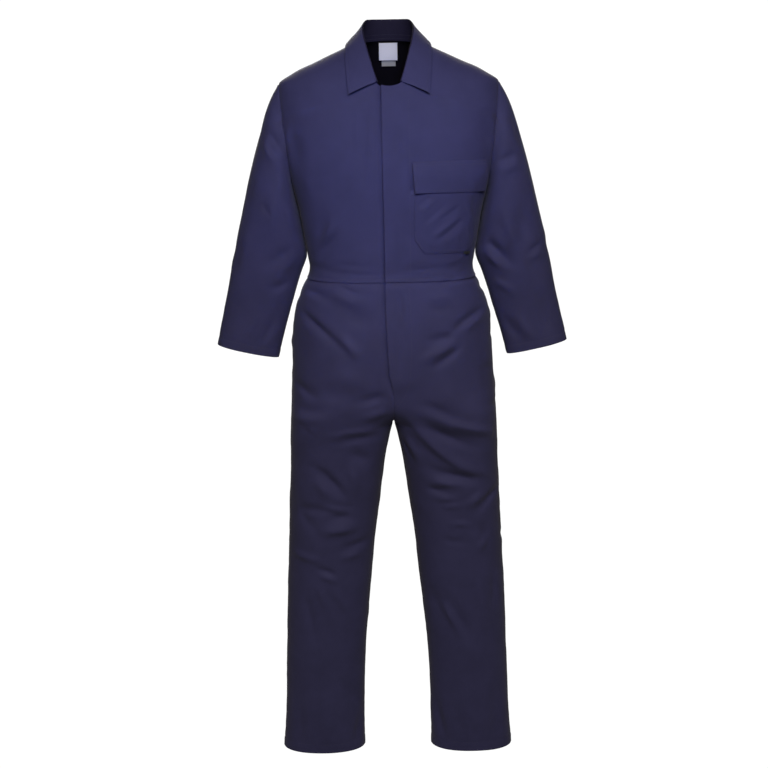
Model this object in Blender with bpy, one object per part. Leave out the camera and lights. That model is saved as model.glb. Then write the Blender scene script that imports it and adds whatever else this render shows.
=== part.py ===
"""Boiler suit: a one-piece work garment with a concealed front, filled out and hollow.

X runs to the wearer's left, -Y is the front and Z is up. The origin is on the centre line,
level with the neck points, where the wearer's shoulders hold the garment up.

The cloth is laid out the way it is cut. A place on a panel is given by its height z and by its
length along the cloth from the centre line, as on a paper pattern, and the level sections below
say where that place lies in space. Neighbouring panels share the places along their seam, and
each then steps back from it by half the seam gap. All sizes are in metres.
"""

import math

import bpy
import numpy as np

# ---------------------------------------------------------------- driving sizes

WALL = 0.0018  # cloth of the panels
THIN = 0.0014  # pieces that lie on a panel
LABEL = 0.0008
SEAM_GAP = 0.00034
LAY_GAP = 0.0004  # between a panel and what lies on it
SLEEVE_HEAD_STEP = 2.0  # the sleeve steps back more than half the gap, for the deep underarm
VALLEY_MILD = 0.10  # sine of the turn at a seam up to which both panels use one normal
VALLEY_DEEP = 0.40  # and from which each keeps its own
SHARP_EDGE = math.radians(50)

FRONT, BACK = -1, 1
LEFT, RIGHT = 1, -1  # the wearer's left is at +X

WAIST = -0.490
CROTCH = -0.815
HEM = -1.605
UNDERARM = -0.308
SHOULDER_TIP = (0.2345, -0.080)  # x, z
NECK_POINT = (0.068, 0.003)  # x, z, where the collar meets the shoulder seam
NECK_BACK_Z = 0.010
NECK_FRONT_Z = -0.089

# ---------------------------------------------------------------- level sections

# Each half section is a superellipse. half_width is measured at the side, front and back are
# depths from the side seam's plane, and squareness is the superellipse's power.
BODICE = (
    ("z", "half_width", "front", "back", "squareness"),
    (0.014, 0.0400, 0.016, 0.0695, 2.4),
    (0.003, 0.0680, 0.027, 0.0738, 2.4),
    (-0.003, 0.0830, 0.033, 0.0762, 2.4),
    (-0.010, 0.0980, 0.038, 0.079, 2.4),
    (-0.020, 0.1205, 0.046, 0.083, 2.4),
    (-0.040, 0.1640, 0.062, 0.092, 2.45),
    (-0.050, 0.1880, 0.069, 0.096, 2.45),
    (-0.060, 0.2060, 0.076, 0.100, 2.5),
    (-0.080, 0.2345, 0.088, 0.107, 2.5),
    (-0.100, 0.2385, 0.097, 0.112, 2.5),
    (-0.140, 0.2405, 0.109, 0.122, 2.6),
    (-0.200, 0.2360, 0.118, 0.131, 2.7),
    (-0.260, 0.2220, 0.122, 0.133, 2.7),
    (-0.308, 0.2083, 0.122, 0.130, 2.7),
    (-0.350, 0.1980, 0.121, 0.124, 2.7),
    (-0.410, 0.1880, 0.119, 0.113, 2.6),
    (-0.450, 0.1815, 0.119, 0.108, 2.55),
    (-0.470, 0.1785, 0.118, 0.106, 2.5),
    (-0.490, 0.1805, 0.118, 0.106, 2.5),
)

# Below the crotch each leg is a section of its own, from the inner to the outer edge.
TROUSERS = (
    ("z", "outer", "inner", "front", "back", "squareness"),
    (-0.490, 0.1805, 0.0000, 0.118, 0.106, 2.5),
    (-0.500, 0.1860, 0.0000, 0.121, 0.111, 2.5),
    (-0.520, 0.1965, 0.0000, 0.126, 0.121, 2.45),
    (-0.560, 0.2110, 0.0000, 0.133, 0.136, 2.45),
    (-0.600, 0.2175, 0.0000, 0.138, 0.146, 2.4),
    (-0.650, 0.2205, 0.0000, 0.141, 0.152, 2.4),
    (-0.700, 0.2225, 0.0000, 0.139, 0.152, 2.4),
    (-0.750, 0.2260, 0.0000, 0.134, 0.147, 2.35),
    (-0.815, 0.2290, 0.0000, 0.120, 0.136, 2.3),
    (-0.840, 0.2305, 0.0062, 0.114, 0.130, 2.3),
    (-0.860, 0.2315, 0.0105, 0.110, 0.126, 2.3),
    (-0.900, 0.2330, 0.0180, 0.104, 0.120, 2.3),
    (-0.950, 0.2357, 0.0260, 0.098, 0.113, 2.25),
    (-1.000, 0.2385, 0.0325, 0.092, 0.106, 2.25),
    (-1.100, 0.2430, 0.0465, 0.082, 0.093, 2.2),
    (-1.200, 0.2475, 0.0572, 0.075, 0.082, 2.2),
    (-1.300, 0.2520, 0.0673, 0.069, 0.073, 2.2),
    (-1.400, 0.2555, 0.0748, 0.063, 0.066, 2.2),
    (-1.500, 0.2600, 0.0778, 0.058, 0.060, 2.2),
    (-1.605, 0.2680, 0.0785, 0.055, 0.056, 2.2),
)

# Height above the crotch over which the seat closes round it, at the front and at the back.
SEAT_RISE = {FRONT: 0.150, BACK: 0.210}
SEAT_POWER = 1.8

# The lapped edge of the left front, as its length from the centre line.
LAP_EDGE = (
    ("z", "length"),
    (-0.086, -0.0170),
    (-0.279, -0.0160),
    (-0.404, -0.0145),
    (-0.574, -0.0135),
    (-0.639, -0.0110),
    (-0.694, -0.0070),
    (-0.725, -0.0010),
    (-0.740, 0.0000),
)

# The sleeve's outer and inner edges as seen from the front, and its depth from one to the other.
SLEEVE_OUTER = (
    ("z", "x"),
    (-0.080, 0.2345),
    (-0.100, 0.2470),
    (-0.120, 0.2570),
    (-0.140, 0.2650),
    (-0.160, 0.2715),
    (-0.200, 0.2835),
    (-0.250, 0.2975),
    (-0.300, 0.3105),
    (-0.350, 0.3225),
    (-0.400, 0.3345),
    (-0.450, 0.3455),
    (-0.500, 0.3557),
    (-0.550, 0.3665),
    (-0.600, 0.3780),
    (-0.642, 0.3870),
)
SLEEVE_INNER = (
    ("z", "x"),
    (-0.308, 0.2083),
    (-0.330, 0.2050),
    (-0.360, 0.1995),
    (-0.400, 0.1930),
    (-0.430, 0.1885),
    (-0.448, 0.1865),
    (-0.462, 0.1893),
    (-0.480, 0.1960),
    (-0.500, 0.2027),
    (-0.540, 0.2152),
    (-0.580, 0.2272),
    (-0.620, 0.2390),
    (-0.672, 0.2525),
)
SLEEVE_DEPTH = (
    ("along", "front", "back"),
    (0.00, 0.060, 0.066),
    (0.12, 0.070, 0.075),
    (0.30, 0.073, 0.077),
    (0.50, 0.066, 0.069),
    (0.70, 0.053, 0.055),
    (0.85, 0.042, 0.044),
    (1.00, 0.034, 0.035),
)
SLEEVE_SQUARENESS = 2.2
INNER_LAG = 1.5  # rings crowd towards the underarm, where the inner seam is short
ARMHOLE_BLEND = 0.25  # share of the sleeve over which its head takes the armhole's shape

# ---------------------------------------------------------------- grid lines

CHEST_ROWS = (-0.080, -0.103, -0.127, -0.150, -0.173, -0.196, -0.220, -0.243, -0.276, -0.300)
WAIST_ROWS = (UNDERARM, -0.340, -0.372, -0.404, -0.436, -0.463, WAIST + SEAM_GAP / 2)
BODICE_ROWS = CHEST_ROWS + WAIST_ROWS
ARMHOLE_ROWS = (-0.080, -0.0865, -0.106, -0.130, -0.157, -0.186, -0.215, -0.243)
LEVEL_ROW = 7  # from this row down the rows are level
UNDERARM_ROW = len(CHEST_ROWS)

LAP_COLUMNS = (0.008, 0.032)
CHEST_COLUMNS = (0.032, 0.049, 0.071, 0.103, 0.135, 0.160, 0.181, 0.199, 0.220)
NECK_STEPS = {FRONT: 3, BACK: 4}
BACK_COLUMNS = 10

HIP_ROWS = (WAIST - SEAM_GAP / 2, -0.512, -0.540, -0.575, -0.615, -0.655, -0.695, -0.730, -0.760)
SEAT_ROWS = (-0.783, -0.800, -0.811, CROTCH, -0.828, -0.846, -0.870, -0.900, -0.935, -0.970)
KNEE_ROWS = (-1.005, -1.040, -1.075, -1.115, -1.155, -1.200, -1.250)
SHIN_ROWS = (-1.300, -1.355, -1.415, -1.480, -1.545, HEM)
TROUSER_ROWS = HIP_ROWS + SEAT_ROWS + KNEE_ROWS + SHIN_ROWS
TROUSER_COLUMNS = 12
FLY_WIDTH = 0.048
FLY_ROWS = len(HIP_ROWS) - 1  # the fly ends at this trouser row
FLY_BLEND = 3  # rows below it over which the columns spread evenly again
SLEEVE_RINGS = 17
ARC_STEPS = 128  # steps in which a length along a section is measured

# ---------------------------------------------------------------- the largest folds

# Each fold runs from one place to another, as seen from the front or the back. Its height is
# above the cloth, and a negative one is a trough.
FOLDS = (
    ("face", "x1", "z1", "x2", "z2", "half_width", "height"),
    # from the crotch across the wearer's left thigh
    (FRONT, 0.034, -0.764, 0.113, -0.792, 0.020, 0.0040),
    (FRONT, 0.113, -0.792, 0.200, -0.826, 0.017, 0.0045),
    (FRONT, 0.046, -0.796, 0.110, -0.826, 0.017, -0.0040),
    (FRONT, 0.110, -0.826, 0.200, -0.862, 0.020, -0.0050),
    (FRONT, 0.044, -0.803, 0.095, -0.862, 0.018, 0.0050),
    (FRONT, 0.095, -0.862, 0.193, -0.918, 0.018, 0.0050),
    (FRONT, 0.060, -0.892, 0.190, -0.940, 0.018, -0.0050),
    # the wearer's left hip
    (FRONT, 0.050, -0.662, 0.135, -0.626, 0.018, 0.0050),
    (FRONT, 0.058, -0.616, 0.133, -0.612, 0.016, -0.0040),
    (FRONT, 0.124, -0.604, 0.196, -0.556, 0.013, -0.0040),
    # the wearer's right hip and thigh
    (FRONT, -0.178, -0.574, -0.092, -0.646, 0.016, -0.0045),
    (FRONT, -0.150, -0.545, -0.070, -0.560, 0.018, 0.0035),
    (FRONT, -0.110, -0.752, -0.018, -0.738, 0.018, -0.0040),
    (FRONT, -0.198, -0.703, -0.140, -0.810, 0.022, -0.0045),
    (FRONT, -0.198, -0.898, -0.150, -0.922, 0.016, -0.0045),
    (FRONT, -0.150, -0.922, -0.100, -0.996, 0.018, -0.0050),
    # the knees
    (FRONT, -0.168, -1.000, -0.098, -1.001, 0.014, 0.0045),
    (FRONT, -0.160, -1.026, -0.088, -1.022, 0.014, -0.0045),
    (FRONT, -0.175, -1.055, -0.080, -1.057, 0.018, 0.0045),
    (FRONT, -0.195, -1.015, -0.158, -1.113, 0.016, -0.0040),
    (FRONT, -0.133, -1.100, -0.050, -1.082, 0.018, -0.0040),
    (FRONT, 0.110, -1.010, 0.210, -0.984, 0.020, -0.0045),
    (FRONT, 0.106, -1.215, 0.168, -1.340, 0.020, 0.0045),
    (FRONT, 0.140, -1.190, 0.200, -1.300, 0.020, -0.0040),
    (FRONT, -0.130, -1.400, -0.090, -1.520, 0.020, -0.0035),
    (FRONT, 0.084, -1.470, 0.110, -1.585, 0.018, -0.0040),
    # where the bodice meets the waist seam
    (FRONT, -0.130, -0.345, -0.168, -0.435, 0.018, -0.0040),
    (FRONT, -0.105, -0.400, -0.155, -0.462, 0.016, -0.0035),
    (FRONT, 0.095, -0.474, 0.165, -0.456, 0.014, -0.0035),
    # the seat, the back of the knees and the small of the back
    (BACK, 0.030, -0.790, 0.150, -0.835, 0.020, -0.0055),
    (BACK, -0.030, -0.795, -0.155, -0.830, 0.020, -0.0055),
    (BACK, 0.060, -0.850, 0.190, -0.905, 0.022, -0.0050),
    (BACK, -0.050, -0.860, -0.185, -0.900, 0.022, -0.0050),
    (BACK, 0.070, -1.080, 0.200, -1.060, 0.018, -0.0050),
    (BACK, 0.080, -1.130, 0.215, -1.150, 0.020, -0.0050),
    (BACK, -0.075, -1.065, -0.205, -1.085, 0.018, -0.0050),
    (BACK, -0.085, -1.140, -0.210, -1.120, 0.020, -0.0050),
    (BACK, -0.150, -0.400, -0.030, -0.445, 0.020, -0.0045),
    (BACK, 0.160, -0.385, 0.020, -0.455, 0.020, -0.0045),
    (BACK, 0.110, -0.130, 0.160, -0.260, 0.024, -0.0040),
    (BACK, -0.115, -0.140, -0.155, -0.255, 0.024, -0.0040),
    # the bend of the sleeves
    (FRONT, 0.217, -0.428, 0.270, -0.478, 0.016, -0.0050),
    (FRONT, 0.230, -0.330, 0.264, -0.430, 0.020, 0.0040),
    (FRONT, -0.222, -0.430, -0.290, -0.470, 0.020, -0.0040),
    (FRONT, -0.252, -0.183, -0.222, -0.227, 0.014, -0.0035),
    (BACK, 0.225, -0.410, 0.320, -0.430, 0.018, -0.0045),
    (BACK, -0.225, -0.420, -0.320, -0.410, 0.018, -0.0045),
)
FOLD_FADE = 0.035  # a fold fades out this near the side, where the cloth turns away
FOLD_CLEAR = 0.4  # its effect is dropped below this share

# ---------------------------------------------------------------- collar, placket, pocket

# Half a collar from the centre back to its front end: u is the share along the neckline, then
# come the place of the fold and the place of the outer edge.
COLLAR = (
    ("u", "fold_x", "fold_y", "fold_z", "edge_x", "edge_y", "edge_z"),
    (0.00, 0.0000, 0.0640, 0.0530, 0.0000, 0.0830, 0.0000),
    (0.15, 0.0240, 0.0595, 0.0530, 0.0340, 0.0780, -0.0005),
    (0.30, 0.0430, 0.0450, 0.0520, 0.0640, 0.0590, 0.0000),
    (0.42, 0.0525, 0.0220, 0.0430, 0.0800, 0.0300, 0.0015),
    (0.50, 0.0545, 0.0040, 0.0335, 0.0860, 0.0060, 0.0000),
    (0.62, 0.0515, -0.0240, 0.0130, 0.0885, -0.0300, -0.0125),
    (0.74, 0.0455, -0.0480, -0.0100, 0.0882, -0.0570, -0.0370),
    (0.87, 0.0355, -0.0745, -0.0445, 0.0862, -0.0820, -0.0700),
    (1.00, 0.0250, -0.0945, -0.0780, 0.0830, -0.1010, -0.1060),
)
COLLAR_CLOTH = 0.0016
COLLAR_END = 0.0255  # x of the collar's front end on the neckline
COLLAR_ROLL = 0.0024  # radius of the fold
COLLAR_BULGE = 0.0020
COLLAR_GAP = 0.0006  # from the neckline to the stand

PLACKET_TOP_STEP = 0.0030  # the placket stops this far below the neckline

POCKET_ROWS = (-0.276, -0.300, UNDERARM, -0.340, -0.372, -0.404, -0.436)
POCKET_LIFTS = (0.0, 0.0, 0.0, 0.0, 0.0, 0.0003, 0.0004)
POCKET_COLUMNS = (0.049, 0.071, 0.103, 0.135, 0.160, 0.181, 0.199)
POCKET_CLIP = ((0.060, -0.421), (0.190, -0.4275))  # the clipped corners' middles
POCKET_RIGHT_CLIP_Z = -0.419

FLAP_ROWS = (-0.243, -0.258, -0.276, -0.300, UNDERARM)
FLAP_COLUMNS = (0.046, 0.071, 0.103, 0.135, 0.160, 0.181, 0.199, 0.206)
FLAP_LIFTS = (0.0, 0.0022, 0.0034, 0.0042, 0.0046)

TAB_ROWS = (-0.4325, -0.4385)
TAB_COLUMNS = (0.162, 0.172, 0.182)
TAB_LIFT = THIN + LAY_GAP + 0.0008  # the tab lies on the pocket's lower edge

NECK_LABEL = ((0.004, -0.036), (-0.020, 0.020))  # heights, then lengths from the centre back
CARE_LABEL = ((-0.028, -0.048), (-0.015, 0.015))
LABEL_LIFTS = {"neck_label": (0.0005, 0.0032), "care_label": (0.0005, 0.0005)}  # top, bottom

# ---------------------------------------------------------------- colours

NAVY = (0.032, 0.031, 0.088)
NAVY_COLLAR = (0.035, 0.034, 0.095)
BLACK = (0.012, 0.012, 0.014)
WHITE = (0.80, 0.80, 0.86)
GREY = (0.35, 0.34, 0.36)


# ---------------------------------------------------------------- smooth tables


def smooth(xs, ys):
    """A function through the points that never swings past them (monotone cubic)."""
    order = np.argsort(xs)
    x, y = np.array(xs, float)[order], np.array(ys, float)[order]
    step = np.diff(x)
    slope = np.diff(y) / step
    tangent = np.concatenate([slope[:1], np.zeros(len(x) - 2), slope[-1:]])
    for i in range(1, len(x) - 1):
        if slope[i - 1] * slope[i] > 0:
            after, before = 2 * step[i] + step[i - 1], step[i] + 2 * step[i - 1]
            tangent[i] = (after + before) / (after / slope[i - 1] + before / slope[i])

    def at(v):
        v = np.clip(np.asarray(v, float), x[0], x[-1])
        i = np.clip(np.searchsorted(x, v) - 1, 0, len(step) - 1)
        t = (v - x[i]) / step[i]
        rise = tangent[i] * (t**3 - 2 * t**2 + t) + tangent[i + 1] * (t**3 - t**2)
        return y[i] * (2 * t**3 - 3 * t**2 + 1) + y[i + 1] * (3 * t**2 - 2 * t**3) + step[i] * rise

    return at


def columns_of(table):
    """Each named column of a table as a smooth function of its first column."""
    names, rows = table[0], table[1:]
    first = [row[0] for row in rows]
    return {name: smooth(first, [row[k] for row in rows]) for k, name in enumerate(names) if k}


bodice = columns_of(BODICE)
trousers = columns_of(TROUSERS)
sleeve_depth = columns_of(SLEEVE_DEPTH)
sleeve_outer = columns_of(SLEEVE_OUTER)
sleeve_inner = columns_of(SLEEVE_INNER)
lap_edge = columns_of(LAP_EDGE)["length"]
collar_lines = columns_of(COLLAR)


# ---------------------------------------------------------------- places on the form


def half_section(z, face):
    """Centre, half width, depth, power and first angle of the half section at each height."""
    above = z > WAIST
    depth_name = "front" if face == FRONT else "back"
    power = np.where(above, bodice["squareness"](z), trousers["squareness"](z))
    depth = np.where(above, bodice[depth_name](z), trousers[depth_name](z))
    risen = np.clip((z - CROTCH) / SEAT_RISE[face], 0, 1)
    close = (1 - risen) ** SEAT_POWER  # 1 at the crotch, 0 where the section is whole
    outer, inner = trousers["outer"](z), trousers["inner"](z)
    hip_half = outer / (1 + close)
    in_leg = z <= CROTCH
    half = np.where(above, bodice["half_width"](z), np.where(in_leg, (outer - inner) / 2, hip_half))
    centre = np.where(above, 0.0, np.where(in_leg, (outer + inner) / 2, close * hip_half))
    share = np.where(above, 0.0, np.where(in_leg, 1.0, close))
    lift = np.maximum(1 - share**power, 0) ** (1 / power)
    return centre, half, depth, power, math.pi - np.arctan2(lift, share)


def arc(section, angle):
    """x and depth of the section's point at each angle, 0 at the side."""
    centre, half, depth, power = (v[:, None] for v in section[:4])
    c, s = np.cos(angle), np.abs(np.sin(angle))
    reach = (np.abs(c) ** power + s**power) ** (-1 / power)
    return centre + half * reach * c, depth * reach * s


def arc_lengths(section):
    """Angles from the section's start to the side, and the length along the cloth to each."""
    angle = section[4][:, None] * np.linspace(1, 0, ARC_STEPS)
    x, y = arc(section, angle)
    length = np.cumsum(np.hypot(np.diff(x), np.diff(y)), axis=1)
    return angle, np.concatenate([np.zeros((len(x), 1)), length], axis=1)


def side_length(z, face):
    """Length along the cloth from the centre line to the side at each height."""
    z = np.atleast_1d(np.asarray(z, float))
    return arc_lengths(half_section(z, face))[1][:, -1]


def length_at(z, x, face):
    """Length along the cloth from the centre line to the place at x, at each height."""
    z, x = np.atleast_1d(z).astype(float), np.atleast_1d(x).astype(float)
    section = half_section(z, face)
    centre, half, _, power, _ = section
    u = np.clip((x - centre) / half, -1, 1)
    v = (1 - np.abs(u) ** power) ** (1 / power)
    angle, length = arc_lengths(section)
    want = np.arctan2(v, u)
    return np.array([np.interp(-want[i], -angle[i], length[i]) for i in range(len(z))])


def place(z, length, face):
    """Points in space of the places (z, length). A negative length is across the centre line."""
    shape = np.shape(z)
    z, length = np.ravel(z).astype(float), np.ravel(length).astype(float)
    section = half_section(z, face)
    angle, lengths = arc_lengths(section)
    wanted = [np.interp(abs(length[i]), lengths[i], angle[i]) for i in range(len(z))]
    x, y = arc(section, np.array(wanted)[:, None])
    x = np.where(length < 0, -x[:, 0], x[:, 0])
    return np.stack([x, face * y[:, 0], z], axis=1).reshape(*shape, 3)


# ---------------------------------------------------------------- patterns of half a panel


def neck_front(turn):
    """x and z on the front neckline, turn 0 at the neck point and 90 degrees at the centre."""
    x = NECK_POINT[0] * np.cos(turn)
    return x, NECK_POINT[1] + (NECK_FRONT_Z - NECK_POINT[1]) * np.sin(turn)


def neck_back(turn):
    """x and z on the back neckline, turn 0 at the centre and 90 degrees at the neck point."""
    x = NECK_POINT[0] * np.sin(turn)
    return x, NECK_POINT[1] + (NECK_BACK_Z - NECK_POINT[1]) * np.cos(turn) ** 2


def ridge_heights(steps):
    """Heights evenly spaced along the shoulder seam, from the neck point to its tip."""
    z = np.linspace(NECK_POINT[1], SHOULDER_TIP[1], ARC_STEPS)
    run = np.concatenate([[0], np.cumsum(np.hypot(np.diff(bodice["half_width"](z)), np.diff(z)))])
    return np.interp(np.linspace(0, run[-1], steps + 1), run, z)


def armhole_x(z):
    """The armhole lies in a plane that leans in from the shoulder tip to the underarm."""
    lean = (SHOULDER_TIP[1] - z) / (SHOULDER_TIP[1] - UNDERARM)
    return SHOULDER_TIP[0] + (bodice["half_width"](UNDERARM) - SHOULDER_TIP[0]) * lean


def top_row(face, fixed):
    """Heights and lengths along the neckline and the shoulder seam."""
    steps = NECK_STEPS[face]
    if face == FRONT:
        first = math.acos(CHEST_COLUMNS[0] / NECK_POINT[0])
        x, z = neck_front(np.linspace(first, 0, steps + 1))
    else:
        x, z = neck_back(np.linspace(0, math.pi / 2, steps + 1))
    neck_length = length_at(z, x, face)
    neck_length[-1] = side_length(z[-1], face)[0]
    ridge = ridge_heights(len(fixed) - steps)[1:]
    return np.concatenate([z, ridge]), np.concatenate([neck_length, side_length(ridge, face)])


def half_bodice(face, fixed, lap=None):
    """Heights and lengths of half a bodice, rows from the top and columns from the centre.

    fixed are the columns' lengths where the rows are level; the side comes after them. lap
    gives the lengths of the columns before them, one function of the height for each.
    """
    fixed = np.asarray(fixed)
    rows = np.array(BODICE_ROWS)
    side_z = np.concatenate([ARMHOLE_ROWS, rows[LEVEL_ROW + 1 :]])
    top_z, top_length = top_row(face, fixed)
    fade = np.clip(1 - np.arange(len(rows)) / LEVEL_ROW, 0, 1)
    across = np.linspace(0, 1, len(fixed) + 1)
    z = rows[:, None] + (top_z - rows[0]) * fade[:, None] + np.outer(side_z - rows, across)
    edge = side_length(side_z, face)
    arm = slice(1, UNDERARM_ROW)
    edge[arm] = length_at(side_z[arm], armhole_x(side_z[arm]), face)
    level = np.concatenate([np.broadcast_to(fixed, (len(rows), len(fixed))), edge[:, None]], axis=1)
    length = level * (1 - fade[:, None]) + top_length * fade[:, None]
    length[:, -1] = edge
    if lap:
        top = [neck_front(math.acos(abs(f(rows[0])) / NECK_POINT[0]))[1] for f in lap]
        lap_z = rows[:, None] + (np.array(top) - rows[0]) * fade[:, None]
        lap_length = np.stack([f(lap_z[:, k]) for k, f in enumerate(lap)], axis=1)
        z, length = np.concatenate([lap_z, z], axis=1), np.concatenate([lap_length, length], axis=1)
    return z, length


def half_trousers(face, lap=None, strip=()):
    """Heights and lengths of one trouser panel, rows from the waist and columns from the centre."""
    rows = np.array(TROUSER_ROWS)
    side = side_length(rows, face)
    first = lap(rows) if lap else np.zeros(len(rows))
    even = np.linspace(0, 1, TROUSER_COLUMNS + 1)
    length = first[:, None] + (side - first)[:, None] * even
    if strip:
        kept = first[:, None] + np.array((0.0, *strip))
        rest = TROUSER_COLUMNS - len(strip)
        last = kept[:, -1:]
        spread = last + (side[:, None] - last) * np.linspace(0, 1, rest + 1)[1:]
        end, even_again = rows[FLY_ROWS], rows[FLY_ROWS + FLY_BLEND]
        hold = np.clip((rows - even_again) / (end - even_again), 0, 1)
        length = length + (np.concatenate([kept, spread], axis=1) - length) * hold[:, None]
    return np.repeat(rows[:, None], TROUSER_COLUMNS + 1, axis=1), length


# ---------------------------------------------------------------- panels


def panel(name, z, length, face, side):
    """A panel's points, with the sign that makes its normals point out of the garment."""
    points = place(z, length, face) * (side, 1, 1)
    made = {"name": name, "z": z, "length": length, "points": points}
    return made | {"out": -side * face, "ring": False}


def line_of(table, z):
    return np.stack([table["x"](z), z], axis=1)


def spaced(line, shares):
    """Points of a line at the given shares of its length."""
    run = np.concatenate([[0], np.cumsum(np.linalg.norm(np.diff(line, axis=0), axis=1))])
    at = np.array(shares) * run[-1]
    return np.stack([np.interp(at, run, line[:, k]) for k in range(2)], axis=1)


def sleeve(name, front_armhole, back_armhole, side):
    """Rings from the armhole to the cuff; each starts at the outer edge and goes by the front."""
    shares = np.linspace(0, 1, SLEEVE_RINGS + 1)
    outer = line_of(sleeve_outer, np.linspace(SHOULDER_TIP[1], SLEEVE_OUTER[-1][0], ARC_STEPS))
    inner = line_of(sleeve_inner, np.linspace(UNDERARM, SLEEVE_INNER[-1][0], ARC_STEPS))
    outer, inner = spaced(outer, shares), spaced(inner, shares**INNER_LAG)
    steps = len(front_armhole) - 1
    rings = []
    for share, o, i in zip(shares, outer, inner):
        ring = []
        for depth, turns in ((FRONT, range(steps)), (BACK, range(steps, 0, -1))):
            reach = sleeve_depth["front" if depth == FRONT else "back"](share)
            half = np.linalg.norm(o - i) / 2
            section = tuple(np.array([v]) for v in (0.0, half, reach, SLEEVE_SQUARENESS, math.pi))
            angle, length = arc_lengths(section)
            at = np.interp(np.linspace(length[0, -1], 0, steps + 1), length[0], angle[0])
            along, off = arc(section, at[None, :])
            for k in turns:
                x, z = (o + i) / 2 + (o - i) / 2 * along[0, k] / half
                ring.append((x, depth * off[0, k], z))
        rings.append(ring)
    rings = np.array(rings)
    head = np.concatenate([front_armhole, back_armhole[-2:0:-1]])
    blend = np.clip(1 - shares / ARMHOLE_BLEND, 0, 1) ** 2
    points = (rings + (head - rings[0]) * blend[:, None, None]) * (side, 1, 1)
    return {"name": name, "points": points, "out": -side, "ring": True}


def under_lap_edge(z):
    """The edge of the right front, as its length from the centre line."""
    return -lap_edge(z)


def lap_middle(z):
    return np.full(np.shape(z), LAP_COLUMNS[0])


def all_panels():
    """Every panel of the garment, from the neck down."""
    right_lap = half_bodice(FRONT, CHEST_COLUMNS, [under_lap_edge])
    left_lap = half_bodice(FRONT, CHEST_COLUMNS, [lap_edge, lap_middle])
    made = [
        panel("front_right", *right_lap, FRONT, RIGHT),
        panel("front_left", *left_lap, FRONT, LEFT),
    ]
    columns = np.linspace(0, side_length(WAIST, BACK)[0], BACK_COLUMNS + 1)[:-1]
    z, length = half_bodice(BACK, columns)
    back = panel("back", z, length, BACK, LEFT)
    mirrored = panel("back", z, length, BACK, RIGHT)
    back["points"] = np.concatenate([mirrored["points"][:, :0:-1], back["points"]], axis=1)
    back["z"] = np.concatenate([z[:, :0:-1], z], axis=1)
    back["length"] = np.concatenate([-length[:, :0:-1], length], axis=1)
    made.append(back)
    for word, side in (("right", RIGHT), ("left", LEFT)):
        fronts = made[1]["points"][: UNDERARM_ROW + 1, -1]
        backs = back["points"][: UNDERARM_ROW + 1, -1]
        made.append(sleeve(f"sleeve_{word}", fronts, backs, side))
    strip = (FLY_WIDTH / 2, FLY_WIDTH)
    right_front = half_trousers(FRONT, under_lap_edge)
    left_front = half_trousers(FRONT, lap_edge, strip)
    made.append(panel("trouser_front_right", *right_front, FRONT, RIGHT))
    made.append(panel("trouser_front_left", *left_front, FRONT, LEFT))
    for word, side in (("right", RIGHT), ("left", LEFT)):
        made.append(panel(f"trouser_back_{word}", *half_trousers(BACK), BACK, side))
    return made


# ---------------------------------------------------------------- normals, folds and walls


def grid_normals(points, out, ring):
    """The normal at each point of a grid, weighted by the area round it."""
    p = np.concatenate([points, points[:, :1]], axis=1) if ring else points
    face = np.cross(p[1:, 1:] - p[:-1, :-1], p[:-1, 1:] - p[1:, :-1])
    normal = np.zeros_like(p)
    for rows in (slice(0, -1), slice(1, None)):
        for cols in (slice(0, -1), slice(1, None)):
            normal[rows, cols] += face
    if ring:
        normal[:, 0] += normal[:, -1]
        normal = normal[:, :-1]
    return normal * out


def unit(v):
    return v / np.maximum(np.linalg.norm(v, axis=-1, keepdims=True), 1e-12)


def key(point):
    return tuple(np.round(point * 1e5).astype(int))


def shared_normals(panels):
    """Sums of the normals of all the panels that meet at each point, each panel's alike."""
    total = {}
    for p in panels:
        p["normal"] = unit(grid_normals(p["points"], p["out"], p["ring"]))
        for at, n in zip(p["points"].reshape(-1, 3), p["normal"].reshape(-1, 3)):
            total[key(at)] = total.get(key(at), 0) + n
    return total


def common_normals(p, total):
    """The panel's normals, turned at a seam to the one that its neighbours use too."""
    flat = p["points"].reshape(-1, 3)
    return unit(np.array([total[key(at)] for at in flat]).reshape(p["points"].shape))


def wall_normals(p, total):
    """The directions of the wall's thickness: common ones at a seam, but not in a valley.

    Where two panels meet in a valley, as at the underarm, each keeps its own, and both sink a
    little to stay apart.
    """
    own = p["normal"]
    common = common_normals(p, total)
    turn = ((common - own) * step_back(p["points"], p["ring"])).sum(axis=-1, keepdims=True)
    valley = np.clip((turn - VALLEY_MILD) / (VALLEY_DEEP - VALLEY_MILD), 0, 1)
    opposed = (common * own).sum(axis=-1, keepdims=True) < 0
    p["valley"] = np.where(opposed, 1.0, valley)
    return unit(common * (1 - p["valley"]) + own * p["valley"])


def fold_height(points):
    """How far the folds lift or sink the cloth at each point."""
    height = np.zeros(len(points))
    for face, x1, z1, x2, z2, half_width, high in FOLDS[1:]:
        start, run = np.array((x1, z1)), np.array((x2 - x1, z2 - z1))
        to = points[:, (0, 2)] - start
        share = to @ run / (run @ run)
        aside = np.linalg.norm(to - np.clip(share, 0, 1)[:, None] * run, axis=1)
        middle = np.cos((np.clip(share, 0, 1) - 0.5) * math.pi * FOLD_CLEAR)
        facing = np.clip(points[:, 1] * face / FOLD_FADE, 0, 1)
        height += high * np.exp(-((aside / half_width) ** 2)) * middle * facing
    return height


def step_back(points, ring):
    """Unit steps from each border point towards the inside of the panel, in its surface."""
    step = np.zeros_like(points)
    borders = [(0, 1), (-1, -2)]
    for edge, inside in borders:
        step[edge] += inward(points[edge], points[inside], ring)
        if not ring:
            step[:, edge] += inward(points[:, edge], points[:, inside], False)
    return step


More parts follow.
